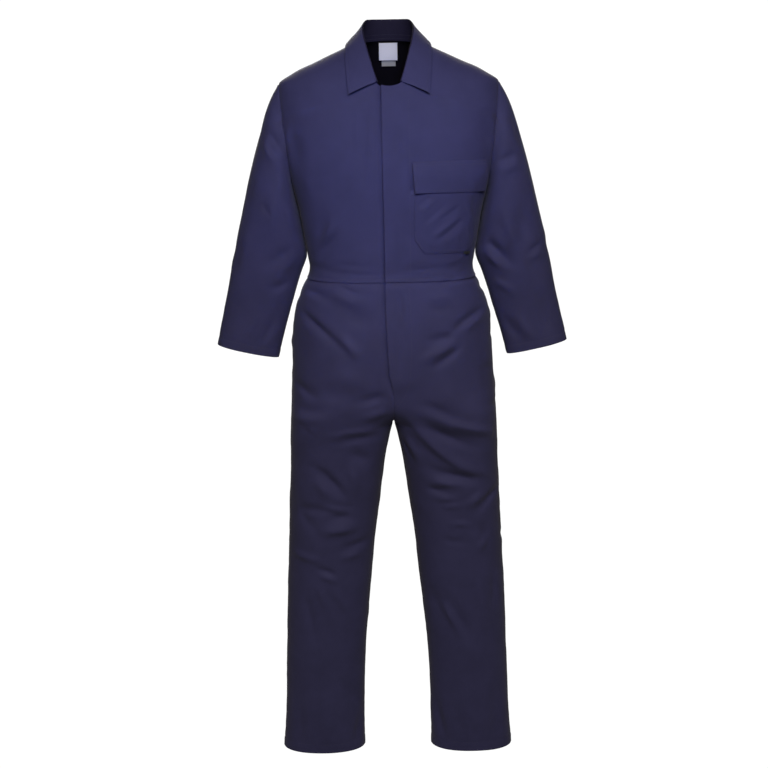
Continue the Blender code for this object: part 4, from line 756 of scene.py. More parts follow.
def bodice_places(face, rows, cols, fixed, lap=None):
    """Heights and lengths at fractional rows and columns. Columns below 0 lie in the lap."""
    fixed = np.array(fixed)
    last = len(fixed)
    knots = np.array(BODICE_ROWS)
    index = np.arange(len(knots))
    row_z = np.interp(rows, index, knots)
    side_z = np.interp(rows, index, np.concatenate([ARMHOLE_ROWS, knots[LEVEL_ROW + 1 :]]))
    beyond = np.clip(rows - index[-1], 0, None)  # the bodice's lap over the trousers
    row_z, side_z = row_z - beyond * WAIST_LAP, side_z - beyond * WAIST_LAP
    fade = np.clip(1 - rows / LEVEL_ROW, 0, 1)[:, None]
    edge = np.where(
        rows <= UNDERARM_ROW,
        length_at(side_z, armhole_x(side_z), face),
        side_length(side_z, face),
    )
    main = np.clip(cols, 0, last)
    top_z, top_length = top_line(face, main, fixed)
    top_last = top_line(face, np.array([last - 1.0, last]), fixed)[1]
    t = np.clip(main - (last - 1), 0, 1)
    z = row_z[:, None] + (top_z - knots[0]) * fade + np.outer(side_z - row_z, main / last)
    level = np.interp(np.minimum(main, last - 1), np.arange(last), fixed)
    kept = level * (1 - fade) + np.where(t > 0, top_last[0], top_length) * fade
    length = kept * (1 - t) + edge[:, None] * t
    bent = top_length - (top_last[0] * (1 - t) + top_last[1] * t)
    length = length + fade * np.where(t > 0, bent, 0.0)
    in_lap = cols < 0
    if lap:
        share = (cols[in_lap] + 1)[None, :]
        lap_x = lap(knots[0])
        top = neck_front_at(lap_x + (fixed[0] - lap_x) * share)
        lap_z = row_z[:, None] + (top - knots[0]) * fade
        first = lap(lap_z[:, :1])
        z[:, in_lap] = lap_z
        at_first = fixed[0] * (1 - fade) + top_line(face, np.zeros(1), fixed)[1] * fade
        length[:, in_lap] = first * (1 - share) + at_first * share
    return z, length


def straight_under_edge(z):
    """The right bodice front's edge under the lap."""
    return np.full(np.shape(z), -UNDER_LAP)


def under_edge(z):
    """The right trouser front's edge under the lap, down to the centre line."""
    return -UNDER_LAP * ease(*FLY_END, z)


UPPER_ROWS = steps_along(BODICE_ROWS[: UNDERARM_ROW + 1], NEAR)
LOWER_ROWS = UNDERARM_ROW + steps_along(BODICE_ROWS[UNDERARM_ROW:])
LAP_ROWS = len(BODICE_ROWS) - 1 + np.array((0.2, 0.6, 0.9, 1.0))
ROWS = np.concatenate([UPPER_ROWS, LOWER_ROWS[1:], LAP_ROWS])
ARM_ROWS = len(UPPER_ROWS)
RIDGE = steps_along((*CHEST_COLUMNS[NECK_STEPS[FRONT] :], SIDE_COLUMN), (), NEAR)


def trouser_rows():
    """Heights of the trousers' rows, crowded by the waist, the crotch and the hem."""
    near = np.array(ROW_NEAR_CROTCH)
    top = WAIST + WAIST_UNDER
    upper = np.arange(top - ROW_NEAR_WAIST, CROTCH + ROWS_OFF_CROTCH, -CELL)
    lower = np.arange(CROTCH - ROWS_OFF_CROTCH, HEM + ROWS_OFF_HEM, -CELL)
    hem = HEM + np.array(ROW_NEAR_HEM)
    return np.concatenate([[top], upper, CROTCH + near[::-1], [CROTCH], CROTCH - near, lower, hem])


TROUSER_ROWS = trouser_rows()


def trouser_places(face, first_edge):
    """Heights and lengths of a trouser panel, from its first edge to the side seam."""
    side = side_length(TROUSER_ROWS, face)
    first = first_edge(TROUSER_ROWS)
    share = steps_along((0.0, TROUSER_WIDTH), NEAR, NEAR)
    length = first[:, None] + (side - first)[:, None] * share
    return np.repeat(TROUSER_ROWS[:, None], len(share), axis=1), length


def centre_line(z):
    """The first edge of a panel that starts on the centre line."""
    return np.zeros(np.shape(z))


# ---------------------------------------------------------------- panels


def panel(name, z, length, face, side):
    """A panel by its places: its points, its flat pattern, and which way is out."""
    points = place(z, length, face) * (side, 1, 1)
    uv = np.stack([length * side, z], axis=-1)
    made = {"name": name, "z": z, "length": length, "points": points, "uv": uv, "face": face}
    return made | {"out": -side * face, "ring": False, "side": side}


def spaced(line, shares):
    """Points at shares of a line's length, and the length."""
    run = lengths_along(line)
    return read_at(np.array(shares) * run[-1], run, line), run[-1]


def sleeve(name, front_armhole, back_armhole, side):
    """Rings from the armhole to the cuff; each starts at the outer edge and goes by the front."""
    z = np.linspace(SHOULDER_TIP[1], SLEEVE_OUTER[-1][0], ARC_STEPS)
    outer_line = np.stack([sleeve_outer["x"](z), z], axis=1)
    z = np.linspace(UNDERARM, SLEEVE_INNER[-1][0], ARC_STEPS)
    inner_line = np.stack([sleeve_inner["x"](z), z], axis=1)
    reach = spaced(outer_line, (1.0,))[1]
    shares = steps_along((0.0, reach), NEAR, NEAR[:4])
    outer, _ = spaced(outer_line, shares)
    inner, _ = spaced(inner_line, shares**INNER_LAG)
    span = 1 - UPPER_ROWS / UNDERARM_ROW
    rings, around = [], []
    for share, o, i in zip(shares, outer, inner):
        ring, run = [], []
        for depth in (FRONT, BACK):
            reach_out = float(sleeve_depth["front" if depth == FRONT else "back"](share))
            half = np.linalg.norm(o - i) / 2
            section = tuple(np.array([v]) for v in (0.0, half, reach_out, SLEEVE_SQUARENESS, math.pi))
            angle, length = arc_lengths(section)
            at = np.interp(span * length[0, -1], length[0], angle[0])
            along, off = arc(section, at[None, :])
            xz = (o + i) / 2 + (o - i) / 2 * (along[0] / half)[:, None]
            half_ring = np.stack([xz[:, 0], depth * off[0], xz[:, 1]], axis=1)
            places = (1 - span) * length[0, -1]
            if depth == FRONT:
                ring.append(half_ring[:-1])
                run.append(places[:-1])
            else:
                ring.append(half_ring[:0:-1])
                run.append(2 * length[0, -1] - places[:0:-1])
        rings.append(np.concatenate(ring))
        around.append(np.concatenate(run))
    rings = np.array(rings)
    head = np.concatenate([front_armhole[:-1], back_armhole[:0:-1]])
    blend = np.clip(1 - shares / ARMHOLE_BLEND, 0, 1) ** 2
    points = (rings + (head - rings[0]) * blend[:, None, None]) * (side, 1, 1)
    uv = np.stack([np.array(around), np.repeat(-shares[:, None] * reach, len(head), axis=1)], axis=-1)
    return {"name": name, "points": points, "out": -side, "ring": True, "uv": uv, "side": side}


def all_panels():
    """Every panel of the garment, from the neck down."""
    steps = NECK_STEPS[FRONT]
    neck_cols = steps_along(CHEST_COLUMNS[: steps + 1])
    lap_width = CHEST_COLUMNS[0] - LAP_EDGE[1][1]
    left_lap = steps_along((0.0, lap_width), NEAR) - 1
    right_lap = steps_along((0.0, CHEST_COLUMNS[0] + UNDER_LAP), NEAR[:3]) - 1
    made = []
    for name, lap_cols, lap, side in (
        ("front_right", right_lap, straight_under_edge, RIGHT),
        ("front_left", left_lap, lap_edge, LEFT),
    ):
        cols = np.concatenate([lap_cols[:-1], neck_cols[:-1], steps + RIDGE])
        made.append(panel(name, *bodice_places(FRONT, ROWS, cols, CHEST_COLUMNS, lap), FRONT, side))
    fixed = np.linspace(0, side_length(WAIST, BACK)[0], BACK_COLUMNS + 1)[:-1]
    steps = NECK_STEPS[BACK]
    cols = np.concatenate([steps_along(fixed[: steps + 1])[:-1], steps + RIDGE])
    z, length = bodice_places(BACK, ROWS, cols, fixed)
    back = panel("back", z, length, BACK, LEFT)
    other = panel("back", z, length, BACK, RIGHT)
    for key in ("points", "uv", "z"):
        back[key] = np.concatenate([other[key][:, :0:-1], back[key]], axis=1)
    back["length"] = np.concatenate([-length[:, :0:-1], length], axis=1)
    back["middle"] = len(cols) - 1
    made.append(back)
    for word, side in (("right", RIGHT), ("left", LEFT)):
        fronts = made[1]["points"][:ARM_ROWS, -1]
        backs = back["points"][:ARM_ROWS, -1]
        made.append(sleeve(f"sleeve_{word}", fronts, backs, side))
    for name, face, edge, side in (
        ("trouser_front_right", FRONT, under_edge, RIGHT),
        ("trouser_front_left", FRONT, lap_edge, LEFT),
        ("trouser_back_right", BACK, centre_line, RIGHT),
        ("trouser_back_left", BACK, centre_line, LEFT),
    ):
        made.append(panel(name, *trouser_places(face, edge), face, side))
    return made


# ---------------------------------------------------------------- normals


def grid_normals(points, out, ring):
    """Outward normals at the points of a grid."""
    p = np.concatenate([points, points[:, :1]], axis=1) if ring else points
    face = unit(np.cross(p[1:, 1:] - p[:-1, :-1], p[:-1, 1:] - p[1:, :-1]))
    normal = np.zeros_like(p)
    for rows in (slice(0, -1), slice(1, None)):
        for cols in (slice(0, -1), slice(1, None)):
            normal[rows, cols] += face
    if ring:
        normal[:, 0] += normal[:, -1]
        normal = normal[:, :-1]
    return unit(normal * out)


def border_points(p):
    """Row and column indices of a panel's border points."""
    rows, cols = p["points"].shape[:2]
    r, c = np.meshgrid(np.arange(rows), np.arange(cols), indexing="ij")
    edge = (r == 0) | (r == rows - 1)
    if not p["ring"]:
        edge |= (c == 0) | (c == cols - 1)
    return r[edge], c[edge]


def share_normals(panels):
    """Panels that meet use one normal at their shared points. own keeps each panel's."""
    total, ends = {}, []
    for p in panels:
        p["own"] = grid_normals(p["points"], p["out"], p["ring"])
        p["normal"] = p["own"].copy()
        r, c = border_points(p)
        keys = [tuple(at) for at in np.round(p["points"][r, c] * MATCH).astype(int).tolist()]
        ends.append((p, r, c, keys))
        for key, n in zip(keys, p["own"][r, c]):
            total[key] = total.get(key, 0) + n
    for p, r, c, keys in ends:
        p["normal"][r, c] = unit(np.array([total[key] for key in keys]))


def soften_normals(p):
    """Spreads the shared normals a little way into the panel, so that they don't jump."""
    n = p["normal"]
    r, c = border_points(p)
    kept = n[r, c].copy()
    for _ in range(SOFT_ROUNDS):
        wide = n.copy()
        wide[1:] += n[:-1]
        wide[:-1] += n[1:]
        if p["ring"]:
            wide += np.roll(n, 1, axis=1) + np.roll(n, -1, axis=1)
        else:
            wide[:, 1:] += n[:, :-1]
            wide[:, :-1] += n[:, 1:]
        n = unit(wide)
        n[r, c] = kept
    p["normal"] = n


# ---------------------------------------------------------------- folds and unevenness


def on_view(points, normals, view, a, z):
    """The surface's point and normal at the place (a, z) of a view."""
    shown, depth, sign = VIEWS[view]
    away = np.hypot(points[:, shown] - a, points[:, 2] - z)
    away = away + np.where(normals[:, depth] * sign < TURNED_AWAY, FAR, 0.0)
    k = np.argmin(away)
    p, n = points[k], normals[k]
    found = p.copy()
    found[shown], found[2] = a, z
    found[depth] -= (n[shown] * (a - p[shown]) + n[2] * (z - p[2])) / n[depth]
    return found, n


def curve_through(knots):
    """A smooth line through the points (Catmull-Rom)."""
    k = np.concatenate([2 * knots[:1] - knots[1:2], knots, 2 * knots[-1:] - knots[-2:-1]])
    made = []
    for i in range(len(knots) - 1):
        a, b, c, d = k[i : i + 4]
        for t in np.arange(FOLD_CURVE) / FOLD_CURVE:
            bend = (2 * a - 5 * b + 4 * c - d) * t**2 + (3 * b - a - 3 * c + d) * t**3
            made.append(b + ((c - a) * t + bend) / 2)
    return np.array([*made, knots[-1]])


def fold_height(points, normals, view, power, half_width, high, skew, peak, *path):
    """The points that a fold reaches, and how far it lifts or sinks the cloth at each."""
    half_width, high = metres(half_width * FOLD_WIDEN, high * FOLD_GAIN)
    places = [at if len(at) == 3 else (view, *at) for at in path]
    found = [on_view(points, normals, letter, *metres(*at)) for letter, *at in places]
    line = curve_through(np.array([f[0] for f in found]))
    up = unit(curve_through(np.array([f[1] for f in found])))
    margin = FOLD_REACH * half_width
    inside = (points > line.min(axis=0) - margin) & (points < line.max(axis=0) + margin)
    near = np.flatnonzero(inside.all(axis=1))
    p, n = points[near][:, None], normals[near]
    start, run = line[:-1], np.diff(line, axis=0)
    size = np.linalg.norm(run, axis=1)
    t = np.clip(((p - start) * run).sum(axis=2) / size**2, 0, 1)
    away = p - start - t[..., None] * run
    k = np.argmin(np.linalg.norm(away, axis=2), axis=1)
    row = np.arange(len(near))
    away = away[row, k] - (away[row, k] * n).sum(axis=1, keepdims=True) * n
    along = (lengths_along(line)[k] + t[row, k] * size[k]) / size.sum()
    sign = np.sign((away * np.cross(up[k], run[k])).sum(axis=1))
    fan = 1 + FAN * (np.abs(along - peak) - FAN_FROM)
    a = np.linalg.norm(away, axis=1) / (half_width * fan * (1 + skew * sign))
    shape = (1 - FOLD_DIP * a**2) * np.exp(-(a**power))
    ends = np.where(along < peak, ease(0, peak, along), ease(0, 1 - peak, 1 - along))
    return near, high * shape * ends * ease(*FOLD_FACING, (n * up[k]).sum(axis=1))


def fold_heights(points, normals, groups):
    """How far all the folds together lift or sink the cloth at each point."""
    height = np.zeros(len(points))
    for view, folds in groups:
        for fold in folds:
            near, lift = fold_height(points, normals, view, *fold)
            height[near] += lift
    return height


def cloud(points, seed):
    """Smooth noise from -1 to 1. Its lattice is one unit wide."""
    cell = np.floor(points)
    part = points - cell
    part = part**3 * (part * (part * 6 - 15) + 10)
    total = np.zeros(len(points))
    for corner in np.ndindex(2, 2, 2):
        value = np.sin((cell + corner) @ (127.1, 311.7, 74.7) + seed * 53.3) * 43758.5453
        weight = np.prod(np.where(corner, part, 1 - part), axis=1)
        total += (value - np.floor(value)) * weight
    return 2 * total - 1


def uneven_heights(points):
    """How far the cloth's small unevenness lifts or sinks it at each point."""
    total = np.zeros(len(points))
    for high, waves, seed in WAVES:
        total += high * cloud(points * waves, seed)
    return total * unevenness(points[:, 2])


# ---------------------------------------------------------------- seams and hems


def run_along(points, axis):
    """Distance along the grid lines from the first point of each."""
    step = np.linalg.norm(np.diff(points, axis=axis), axis=2)
    zero = np.zeros_like(step.take([0], axis=axis))
    return np.concatenate([zero, np.cumsum(step, axis=axis)], axis=axis)


def borders(points):
    """Distances from each point of a grid to its borders, along the grid lines."""
    down, across = run_along(points, 0), run_along(points, 1)
    found = {"from_top": down, "from_bottom": down[-1:] - down}
    return found | {"from_first": across, "from_last": across[:, -1:] - across}


def seam(distance, welt=0.0):
    """A seam's groove, and the pressed allowance beside it."""
    raised = ease(*WELT_RISE, distance) * (1 - ease(*WELT_FALL, distance))
    return welt * raised - GROOVE * bell(distance, GROOVE_WIDTH)


def pucker(points, distance, where="seam"):
    """Small waves beside a line of stitches."""
    high, waves = PUCKERS[where]
    noise = cloud(points.reshape(-1, 3) * waves, PUCKER_SEED).reshape(distance.shape)
    return high * noise * bell(distance, PUCKER_REACH) * ease(0, PUCKER_START, distance)


def stitch_groove(distance, at, deep=DENT):
    """The dent that a line of stitches pulls into the cloth."""
    return -deep * bell(distance - at, DENT_WIDTH)


def edge_round(distance, thick):
    """The drop that rounds an open edge."""
    return -thick * EDGE_DROP * np.clip(1 - distance / EDGE_RADIUS, 0, 1) ** 2


def hem_relief(p, hem, where):
    """A hem's lift and its added thickness. Its stitches draw it in a little."""
    bottom = p["from_bottom"]
    start, end = (hem + beyond for beyond in HEM_LIFT_ENDS)
    lift = HEM_LIFT * (1 - ease(start, end, bottom)) - HEM_DENT * bell(bottom - hem, HEM_DENT_WIDTH)
    lift += edge_round(bottom, HEM_CLOTH) + pucker(p["points"], np.abs(bottom - hem), where)
    return lift, (HEM_CLOTH - CLOTH) * (1 - ease(hem - HEM_STEP, hem + HEM_STEP, bottom))


def sleeve_relief(p):
    """The armhole's seam, the seam under the arm and the cuff's hem."""
    top, seam_column = p["from_top"], len(UPPER_ROWS) - 1
    lift, thick = hem_relief(p, CUFF_HEM, "cuff")
    joined = ARMHOLE_SEAM * seam(top, WELT) + stitch_groove(top, SEAM_LINE) + pucker(p["points"], top)
    around = np.abs(p["uv"][..., 0] - p["uv"][:, seam_column : seam_column + 1, 0])
    under_arm = UNDERARM_SEAM * seam(around) * ease(*UNDERARM_START, top)
    return lift + joined * (1 - p["valley"][:1]) + under_arm, thick


def lap_relief(p):
    """Where the left front laps over the right one, down to where the fly is sewn shut."""
    first, length, z = p["from_first"], p["length"], p["points"][..., 2]
    opened = ease(*FLY_END, z)
    shut = seam(first) * (1 - opened)
    if p["side"] == LEFT:
        lap = 1 - ease(*LAP_WIDTH, length)
        edge = edge_round(first, LAP_CLOTH) + pucker(p["points"], first, "lap")
        return shut + (LAP_LIFT * lap + edge) * opened, (LAP_CLOTH - CLOTH) * lap * opened
    under = UNDER_DIP * (1 - ease(*UNDER_DIP_ENDS, length))
    beside = LAP_SHADE[1] * bell(length + lap_edge(z) - LAP_SHADE_AT, LAP_SHADE[0])
    return shut - (under + beside) * opened, 0.0


def trouser_relief(p):
    """The edge under the waist seam, the seams down a leg and its hem."""
    points, top, first, last = (p[key] for key in ("points", "from_top", "from_first", "from_last"))
    lift, thick = hem_relief(p, TROUSER_HEM, "hem")
    high, at, width = WAIST_RIDGE
    lift += high * bell(top - at, width) - WAIST_SINK * (1 - ease(*WAIST_SINK_ENDS, top))
    lift += pucker(points, top - UNDER_WAIST_LINE, "under waist")
    in_front = p["face"] == FRONT
    lift += seam(last, WELT if in_front else 0.0) + pucker(points, last)
    below_lap = ease(CROTCH, CROTCH - FORK_SEAM_RISE, points[..., 2]) if in_front else 1.0
    return lift + (seam(first, WELT) + pucker(points, first)) * below_lap, thick


def bodice_relief(p):
    """The edge over the waist seam, the side seams, the armholes and the shoulder seams."""
    points, bottom = p["points"], p["from_bottom"]
    is_back = p["name"] == "back"
    lift = WAIST_LIFT * (1 - ease(*WAIST_LIFT_ENDS, bottom)) + edge_round(bottom, CLOTH)
    lift += pucker(points, bottom, "waist")
    by_arm = 1.0 + BY_ARMHOLE * (np.arange(len(points)) < ARM_ROWS)[:, None]
    lift += seam(p["from_last"]) * by_arm + pucker(points, p["from_last"], "side")
    if is_back:
        lift += seam(p["from_first"]) + pucker(points, p["from_first"], "side")
    start, end = NECK_POINT[0] - SHOULDER_SEAM_RISE, NECK_POINT[0] + SHOULDER_SEAM_RISE
    on_shoulder = ease(start, end, np.abs(points[:1, :, 0]))
    return lift + seam(p["from_top"], WELT if is_back else 0.0) * on_shoulder, 0.0


def finish_panel(p):
    """The relief of a panel's own edges, and the thickness of its cloth at each point."""
    p |= borders(p["points"])
    relief = {"sleeve": sleeve_relief, "trouser": trouser_relief}
    p["lift"], added = relief.get(p["name"].split("_")[0], bodice_relief)(p)
    p["thick"] = np.full(p["lift"].shape, CLOTH) + added
    if p.get("face") == FRONT:
        lift, added = lap_relief(p)
        p["lift"], p["thick"] = p["lift"] + lift, p["thick"] + added


def valley_of(p):
    """1 where panels meet in a deep valley, as at the underarm, and 0 elsewhere."""
    opposed = (p["normal"] * p["own"]).sum(axis=2)
    return 1 - ease(*VALLEY_TURN, opposed)


def contact_of(p):
    """1 where a sleeve and the bodice hang against each other, and 0 elsewhere."""
    x, z = p["normal"][..., 0], p["points"][..., 2]
    toward = np.abs(x) if p["name"] == "back" else x * p["side"] * (-1 if p["ring"] else 1)
    below = 1 - ease(UNDERARM, UNDERARM + CONTACT_FADE, z)
    above = ease(CONTACT_END - CONTACT_FADE, CONTACT_END, z)
    return ease(*CONTACT_TURN, toward) * (below * above)


def armhole_fade(p):
    """0 on the armhole's seam and 1 away from it, for the folds."""
    if p["ring"]:
        return ease(0.0, CALM_BY_ARMHOLE["sleeve"], p["from_top"])
    if p["name"].startswith("trouser"):
        return 1.0
    arm = p["from_last"] if p["name"] != "back" else np.minimum(p["from_last"], p["from_first"])
    fade = ease(0.0, CALM_BY_ARMHOLE["bodice"], arm)
    fade[ARM_ROWS:] = 1.0
    ramp = ease(0.0, 1.0, np.arange(CALM_ROWS) / CALM_ROWS)[:, None]
    fade[ARM_ROWS : ARM_ROWS + CALM_ROWS] = fade[ARM_ROWS - 1] * (1 - ramp) + ramp
    return fade


def shape_panels(panels):
    """Folds, unevenness, seams and thickness for every panel."""
    share_normals(panels)
    for p in panels:
        p["contact"] = contact_of(p)
        p["valley"] = valley_of(p)
        soften_normals(p)
    groups = {
        "body": [p for p in panels if not p["ring"]],
        LEFT: [p for p in panels if p["name"] == "sleeve_left"],
        RIGHT: [p for p in panels if p["name"] == "sleeve_right"],
    }
    for key, members in groups.items():
        points = np.concatenate([p["points"].reshape(-1, 3) for p in members])
        normals = np.concatenate([p["normal"].reshape(-1, 3) for p in members])
        folds = BODY_FOLDS if key == "body" else SLEEVE_FOLDS[key]
        calm = 1 - SIDE_CALM * ease(*SIDE_TURN, np.abs(normals[:, 0]))
        height = fold_heights(points, normals, folds) * calm + uneven_heights(points)
        start = 0
        for p in members:
            count = p["points"].shape[0] * p["points"].shape[1]
            p["height"] = height[start : start + count].reshape(p["points"].shape[:2])
            start += count
    for p in panels:
        finish_panel(p)
        offset = p["height"] * armhole_fade(p)
        offset += p["contact"] * (np.clip(offset, -CONTACT_SINK, 0.0) - offset) + p["lift"]
        p["outer"] = p["points"] + p["normal"] * offset[..., None]
        valley = p["valley"][..., None]
        p["wall"] = unit(p["normal"] * (1 - valley) + p["own"] * valley)
        p["inner"] = p["outer"] - p["wall"] * p["thick"][..., None]


# ---------------------------------------------------------------- meshes

SHARP, THREAD_SHARP = 50, 80  # degrees between faces, from which an edge is drawn as an edge


def link(name, points, faces, looks, uv=None, sharp=SHARP, second=None):
    """An object of one mesh. second is the slice of its faces that take the second look."""
    mesh = bpy.data.meshes.new(name)
    mesh.from_pydata(points.tolist(), [], faces.tolist())
    mesh.shade_smooth()
    mesh.set_sharp_from_angle(angle=math.radians(sharp))
    if uv is not None:
        layer = mesh.uv_layers.new(name="cloth")
        index = np.empty(len(mesh.loops), int)
        mesh.loops.foreach_get("vertex_index", index)
        layer.data.foreach_set("uv", uv[index].ravel())
    for look in looks:
        mesh.materials.append(look)
    if second:
        slots = np.zeros(len(mesh.polygons), int)
        slots[second] = 1
        mesh.polygons.foreach_set("material_index", slots)
    made = bpy.data.objects.new(name, mesh)
    bpy.context.scene.collection.objects.link(made)
    return made


def shell(name, outer, inner, uv, out, looks, ring=False, second=None):
    """A closed skin between two grids, with its borders walled up.

    The wrong side takes the second look, unless second names other faces. For the panels that look is
    the duller back of the twill, darkened further as painted shade.
    """
    rows, cols = outer.shape[:2]
    count = rows * cols
    grid = np.arange(count).reshape(rows, cols)
    if ring:
        grid = np.concatenate([grid, grid[:, :1]], axis=1)
    quads = np.stack([grid[:-1, :-1], grid[1:, :-1], grid[1:, 1:], grid[:-1, 1:]], axis=-1)
    quads = quads.reshape(-1, 4)
    rims = [(grid[0], 1), (grid[-1], -1)] + ([] if ring else [(grid[:, 0], -1), (grid[:, -1], 1)])
    faces = [quads, quads[:, ::-1] + count]
    for rim, turn in rims:
        a, b = (rim[:-1], rim[1:])[::turn]
        faces.append(np.stack([a, b, b + count, a + count], axis=-1))
    faces = np.concatenate(faces)[:, :: 1 if out > 0 else -1]
    points = np.concatenate([outer.reshape(-1, 3), inner.reshape(-1, 3)])
    if len(looks) > 1 and not second:
        second = slice(len(quads), 2 * len(quads))
    return link(name, points, faces, looks, np.tile(uv.reshape(-1, 2), (2, 1)), second=second)


def skin(name, outer, inner, wall, uv, out, looks, second=None):
    """A closed skin, and the grid that its stitches are set on."""
    made = shell(name, outer, inner, uv, out, looks, second=second)
    return made, {"outer": outer, "wall": wall} | borders(outer)


def sample(p, rows, cols):
    """Points and normals of a panel's outer surface at fractional rows and columns."""
    height, width = p["outer"].shape[:2]
    r = np.clip(np.floor(rows).astype(int), 0, height - 2)
    c = np.clip(np.floor(cols).astype(int), 0, width - 2)
    s, t = (rows - r)[..., None], (cols - c)[..., None]
    found = []
    for field in (p["outer"], p["wall"]):
        above = field[r, c] * (1 - t) + field[r, c + 1] * t
        below = field[r + 1, c] * (1 - t) + field[r + 1, c + 1] * t
        found.append(above * (1 - s) + below * s)
    return found[0], unit(found[1])


def row_at(p, z):
    """The fractional row of a panel at each height, by the side seam."""
    heights = p["z"][:, -1]
    return np.interp(-z, -heights, np.arange(len(heights)))


def on_cloth(p, z, length):
    """Points and normals at places (z, length) of a panel, where its rows are level."""
    known = p["length"][len(p["length"]) // 2 + ARM_ROWS // 2]
    return sample(p, row_at(p, z), np.interp(length, known, np.arange(len(known))))


def on_rows(p, rows, lengths):
    """Points and normals at a length along each of some rows of a panel."""
    index = np.arange(p["length"].shape[1])
    known = [p["length"][int(round(row))] for row in rows]
    cols = [np.interp(length, line, index) for length, line in zip(lengths, known)]
    return sample(p, rows, np.array(cols))


# ---------------------------------------------------------------- stitches

STITCH = 0.0023  # length of one
PITCH = 0.0031
THREAD = 0.00024  # its radius
THREAD_SIDES = 5
THREAD_TURN = 0.3  # share of its length, on each side of the middle, where a stitch is full
SIGHT = 0.001  # its direction is read from the line this far ahead and behind


def inset(p, border, distance, part=slice(None)):
    """A line of points and normals at a distance from one border of a panel."""
    across = border in ("first", "last")
    field = p[f"from_{border}"]
    count = field.shape[0 if across else 1]
    lines = np.arange(count)[part]
    at = []
    for k in lines:
        run = field[k] if across else field[:, k]
        index = np.arange(len(run))
        if run[0] > run[-1]:
            run, index = run[::-1], index[::-1]
        at.append(np.interp(distance, run, index))
    at = np.array(at)
    return sample(p, lines.astype(float), at) if across else sample(p, at, lines.astype(float))


def stitch_shape():
    """Points of one stitch, by lengths along it, across it and off the cloth, and its faces."""
    turn = np.arange(THREAD_SIDES) * 2 * math.pi / THREAD_SIDES
    points = [(-STITCH / 2, 0.0, -THREAD)]
    for end in (-THREAD_TURN, THREAD_TURN):
        points += [(end * STITCH, THREAD * math.cos(a), THREAD * math.sin(a)) for a in turn]
    points.append((STITCH / 2, 0.0, -THREAD))
    faces, n = [], THREAD_SIDES
    for k in range(n):
        a, b = 1 + k, 1 + (k + 1) % n
        faces += [(0, b, a), (a, b, b + n), (a, b + n, a + n), (a + n, b + n, 2 * n + 1)]
    return np.array(points), np.array(faces)


def stitches(name, lines, look):
    """Rows of small stitches, as one mesh."""
    found = []
    for points, normals in lines:
        run = lengths_along(points)
        at = np.arange(PITCH / 2, run[-1], PITCH)
        along = unit(read_at(at + SIGHT, run, points) - read_at(at - SIGHT, run, points))
        found.append((read_at(at, run, points), along, unit(read_at(at, run, normals))))
    centre, along, up = (np.concatenate(v) for v in zip(*found))
    axes = (along, unit(np.cross(up, along)), up)
    shape, faces = stitch_shape()
    points = centre[:, None] + sum(shape[None, :, k, None] * v[:, None] for k, v in enumerate(axes))
    faces = faces[None] + (np.arange(len(centre)) * len(shape))[:, None, None]
    return link(name, points.reshape(-1, 3), faces.reshape(-1, 3), (look,), sharp=THREAD_SHARP)


# ---------------------------------------------------------------- pocket, flap and tab

POCKET_SIDES = (0.049, 0.199)
POCKET_TOP = -0.252
POCKET_BOTTOM = ((0.049, -0.406), (0.070, -0.436), (0.168, -0.436), (0.199, -0.418))
POCKET_LIFT, POCKET_BACK = 0.0022, 0.0003  # of its two sides off the bodice's cloth
POCKET_PUFF, POCKET_PUFF_ENDS = 0.0022, (0.004, 0.030)  # its middle stands off by this more
POCKET_DENTS = ((0.0016, 0.0008), (0.0070, 0.0007))  # distance from the edge, and depth
POCKET_EDGE = 0.0020  # thickness for its edge's rounding
POCKET_CALM = (0.003, 0.012)  # distances from its edge between which the crinkles come in
CRINKLE_ENDS = 0.3  # share of its length over which a crinkle comes in
POCKET_CRINKLES = (
    # length and height where each starts and ends, half width, height
    (0.0505, -0.338, 0.088, -0.311, 0.0060, -0.0020),
    (0.0540, -0.354, 0.100, -0.316, 0.0055, 0.0018),
    (0.0600, -0.376, 0.120, -0.326, 0.0050, -0.0013),
    (0.0660, -0.384, 0.140, -0.330, 0.0055, 0.0013),
    (0.0980, -0.366, 0.150, -0.334, 0.0050, -0.0018),
    (0.0800, -0.405, 0.153, -0.351, 0.0060, 0.0027),
    (0.0940, -0.412, 0.158, -0.362, 0.0055, -0.0026),
    (0.1100, -0.418, 0.166, -0.378, 0.0050, 0.0015),
    (0.0520, -0.408, 0.088, -0.422, 0.0040, -0.0014),
    (0.0580, -0.416, 0.096, -0.418, 0.0040, 0.0013),
    (0.1530, -0.314, 0.181, -0.365, 0.0055, 0.0018),
    (0.1860, -0.318, 0.180, -0.350, 0.0090, -0.0024),
    (0.1720, -0.372, 0.186, -0.420, 0.0060, -0.0018),
    (0.1280, -0.400, 0.131, -0.426, 0.0035, -0.0009),
    (0.1420, -0.392, 0.144, -0.424, 0.0035, 0.0009),
)
FLAP_SIDES = ((0.0452, 0.0500), (0.2150, 0.2160))  # lengths at the top and the bottom
FLAP_HEIGHTS = (-0.2425, -0.3080)
FLAP_LIFT, FLAP_BOW = 0.0008, 0.0012
FLAP_STAND = (0.0028, 0.0028)  # how far it stands off near its top, and how much more lower down
FLAP_LIFT_ENDS, FLAP_STAND_ENDS = (-0.02, 0.10), (0.0, 0.55)  # shares of the way down it
FLAP_CORNER, FLAP_CORNER_ENDS = 0.0038, (0.1, 1.0)  # its corner by the lap stands off by this more
FLAP_CORNER_SHARE = 0.22  # of its width
FLAP_TOP_GAP = 0.0004  # its top edge is rounded as if it were this much further off
FLAP_WAVES = (0.0007, (38.0, 38.0, 22.0), 5)  # height, waves to a metre, and a seed
FLAP_TOP_DENT, FLAP_SIDE_DENT = (0.0085, 0.0011), (0.0060, 0.0004)
FLAP_THICK, FLAP_EDGE = 0.0016, 0.0015
